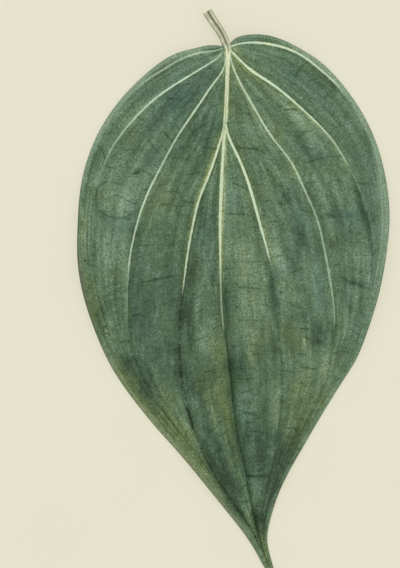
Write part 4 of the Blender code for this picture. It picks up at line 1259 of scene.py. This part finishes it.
def length_property(name, description, usual, least, most):
    return FloatProperty(
        name=name, description=description, default=usual * MM, min=least * MM, max=most * MM,
        unit="LENGTH", precision=4)


def colour_property(name, description, shown):
    return FloatVectorProperty(
        name=name, description=description, subtype="COLOR", default=colour(*shown), min=0.0, max=1.0)


class BetelLeafSizes(bpy.types.PropertyGroup):
    """Sizes of the leaf that can be changed without moving it off its solid."""

    thickness: length_property("Thickness", "Thickness of the blade between its veins", 0.4, 0.2, 0.7)
    cord_height: length_property("Vein height", "Height of the pale cords above the blade", 0.22, 0.0, 0.4)
    groove_depth: length_property("Groove depth", "Depth of the groove along the stalk", 0.45, 0.0, 0.8)


class BetelLeafHues(bpy.types.PropertyGroup):
    """Colours of the leaf."""

    green: colour_property("Green", "Main green of the upper face", (89, 114, 84))
    blue_green: colour_property("Blue green", "Cooler green of its clouds", (80, 108, 92))
    olive: colour_property("Olive", "Warmer green of its clouds", (97, 115, 71))
    margin: colour_property("Margin", "Greyish band inside the margin", (127, 149, 122))
    margin_warm: colour_property("Warm margin", "Olive band inside the margin, lower down", (122, 134, 98))
    margin_line: colour_property("Margin line", "Thin line on the margin", (88, 92, 72))
    vein: colour_property("Vein", "Pale green of the vein cords", (186, 212, 182))
    vein_warm: colour_property("Warm vein", "Yellowish cords of the midrib and branches", (206, 215, 176))
    speck: colour_property("Speck", "Dark specks on the blade", (32, 44, 34))
    stalk: colour_property("Stalk", "Stalk between its edges and its groove", (194, 196, 168))
    stalk_shade: colour_property("Stalk shade", "Duller stripes of the stalk", (174, 175, 147))
    stalk_edge: colour_property("Stalk edge", "Brownish edges of the stalk", (140, 140, 114))
    # Painted shade of the groove's recess
    groove: colour_property("Groove", "Groove along the stalk", (98, 104, 74))
    under: colour_property("Underside", "Lower face of the blade", (140, 156, 124))
    under_deep: colour_property("Deep underside", "Darker clouds of the lower face", (122, 141, 110))
    under_vein: colour_property("Rib", "Ribs and veinlets of the lower face", (178, 186, 146))


class BetelStageSettings(bpy.types.PropertyGroup):
    """Floor, light and camera."""

    floor: colour_property("Floor", "Colour of the floor", (122, 120, 108))
    glow: FloatProperty(
        name="Floor glow", description="Light of the floor itself, which softens the shadow round the leaf",
        default=3.0, min=0.0)
    floor_size: FloatProperty(
        name="Floor size", description="Length of the floor's sides",
        default=4.0, min=0.5, unit="LENGTH")
    lens: FloatProperty(
        name="Lens", description="Focal length of the camera", default=200.0, min=50.0, unit="CAMERA")
    key_power: FloatProperty(
        name="Main light", description="Power of the large light at the upper left",
        default=3.4, min=0.0, unit="POWER")
    fill_power: FloatProperty(
        name="Fill light", description="Power of the large light at the right",
        default=2.0, min=0.0, unit="POWER")
    world: FloatProperty(
        name="Room light", description="Strength of the even light from all round", default=0.78, min=0.0)


def link_piece(name, mesh, material):
    piece = bpy.data.objects.new(name, mesh)
    mesh.materials.append(material)
    bpy.context.scene.collection.objects.link(piece)
    return piece


class BETEL_OT_make_leaf(bpy.types.Operator):
    """Make the leaf over its solid"""

    bl_idname = "betel.make_leaf"
    bl_label = "Make leaf"

    def execute(self, context):
        mesh = LeafMesh(context.scene.betel_sizes).make("leaf_blade_and_stalk")
        mesh.transform(Matrix.Translation(junction_place()))
        leaf = link_piece("leaf_blade_and_stalk", mesh, LeafPaint(context.scene.betel_hues).material)
        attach(leaf, "root")
        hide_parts("betel_leaf")
        return {"FINISHED"}


class BETEL_OT_make_stage(bpy.types.Operator):
    """Make the floor, the lights and the camera"""

    bl_idname = "betel.make_stage"
    bl_label = "Make stage"

    def execute(self, context):
        settings = context.scene.betel_stage
        self.add_floor(settings)
        self.add_light("main_light", MAIN_LIGHT, settings.key_power)
        self.add_light("fill_light", FILL_LIGHT, settings.fill_power)
        self.add_camera(context, settings)
        self.add_room_light(context, settings)
        context.scene.view_settings.view_transform = "Standard"
        return {"FINISHED"}

    def add_floor(self, settings):
        half = settings.floor_size / 2
        level = CAD_BOX[0].z - FLOOR_GAP
        corners = [(-half, -half, level), (half, -half, level), (half, half, level), (-half, half, level)]
        mesh = bpy.data.meshes.new("floor")
        mesh.from_pydata(corners, [], [(0, 1, 2, 3)])
        paint = Paint("floor")
        mottled = paint.noise(paint.place((0.0, 0.0, 0.0)), FLOOR_LUMPS, 3.0)
        base = paint.mix(mottled, settings.floor, [FLOOR_SHADE * part for part in settings.floor])
        paint.set_shader({
            "Base Color": base,
            "Roughness": 0.9,
            "Specular IOR Level": 0.1,
            "Emission Color": base,
            "Emission Strength": settings.glow,
        })
        link_piece("floor", mesh, paint.material)

    def add_light(self, name, form, power):
        data = bpy.data.lights.new(name, "AREA")
        data.energy = power
        data.size = form["size"]
        lamp = bpy.data.objects.new(name, data)
        lamp.location = form["place"]
        lamp.rotation_euler = (-Vector(form["place"])).to_track_quat("-Z", "Y").to_euler()
        bpy.context.scene.collection.objects.link(lamp)

    def add_camera(self, context, settings):
        data = bpy.data.cameras.new("camera")
        data.lens = settings.lens
        data.sensor_width = SENSOR
        camera = bpy.data.objects.new("camera", data)
        over = junction_place() + Vector((*VIEW_CENTRE, 0.0)) * MM
        camera.location = (over.x, over.y, VIEW_LENGTH * settings.lens / SENSOR * MM)
        context.scene.collection.objects.link(camera)
        context.scene.camera = camera

    def add_room_light(self, context, settings):
        world = bpy.data.worlds.new("room_light")
        world.use_nodes = True
        background = world.node_tree.nodes["Background"]
        background.inputs["Color"].default_value = (1.0, 1.0, 1.0, 1.0)
        background.inputs["Strength"].default_value = settings.world
        context.scene.world = world


class BETEL_PT_panel(bpy.types.Panel):
    """Lists the operators and their settings"""

    bl_idname = "BETEL_PT_panel"
    bl_label = "Betel leaf"
    bl_space_type = "VIEW_3D"
    bl_region_type = "UI"
    bl_category = "Leaf"

    def draw(self, context):
        for group in (context.scene.betel_sizes, context.scene.betel_hues, context.scene.betel_stage):
            box = self.layout.box()
            for name in group.__annotations__:
                box.prop(group, name)
        self.layout.operator(BETEL_OT_make_leaf.bl_idname)
        self.layout.operator(BETEL_OT_make_stage.bl_idname)


CLASSES = (
    BetelLeafSizes, BetelLeafHues, BetelStageSettings,
    BETEL_OT_make_leaf, BETEL_OT_make_stage, BETEL_PT_panel,
)


def register():
    for item in CLASSES:
        bpy.utils.register_class(item)
    bpy.types.Scene.betel_sizes = PointerProperty(type=BetelLeafSizes)
    bpy.types.Scene.betel_hues = PointerProperty(type=BetelLeafHues)
    bpy.types.Scene.betel_stage = PointerProperty(type=BetelStageSettings)


def unregister():
    del bpy.types.Scene.betel_sizes
    del bpy.types.Scene.betel_hues
    del bpy.types.Scene.betel_stage
    for item in reversed(CLASSES):
        bpy.utils.unregister_class(item)


def main():
    register()
    bpy.ops.betel.make_leaf()
    bpy.ops.betel.make_stage()


if __name__ == "__main__":
    main()
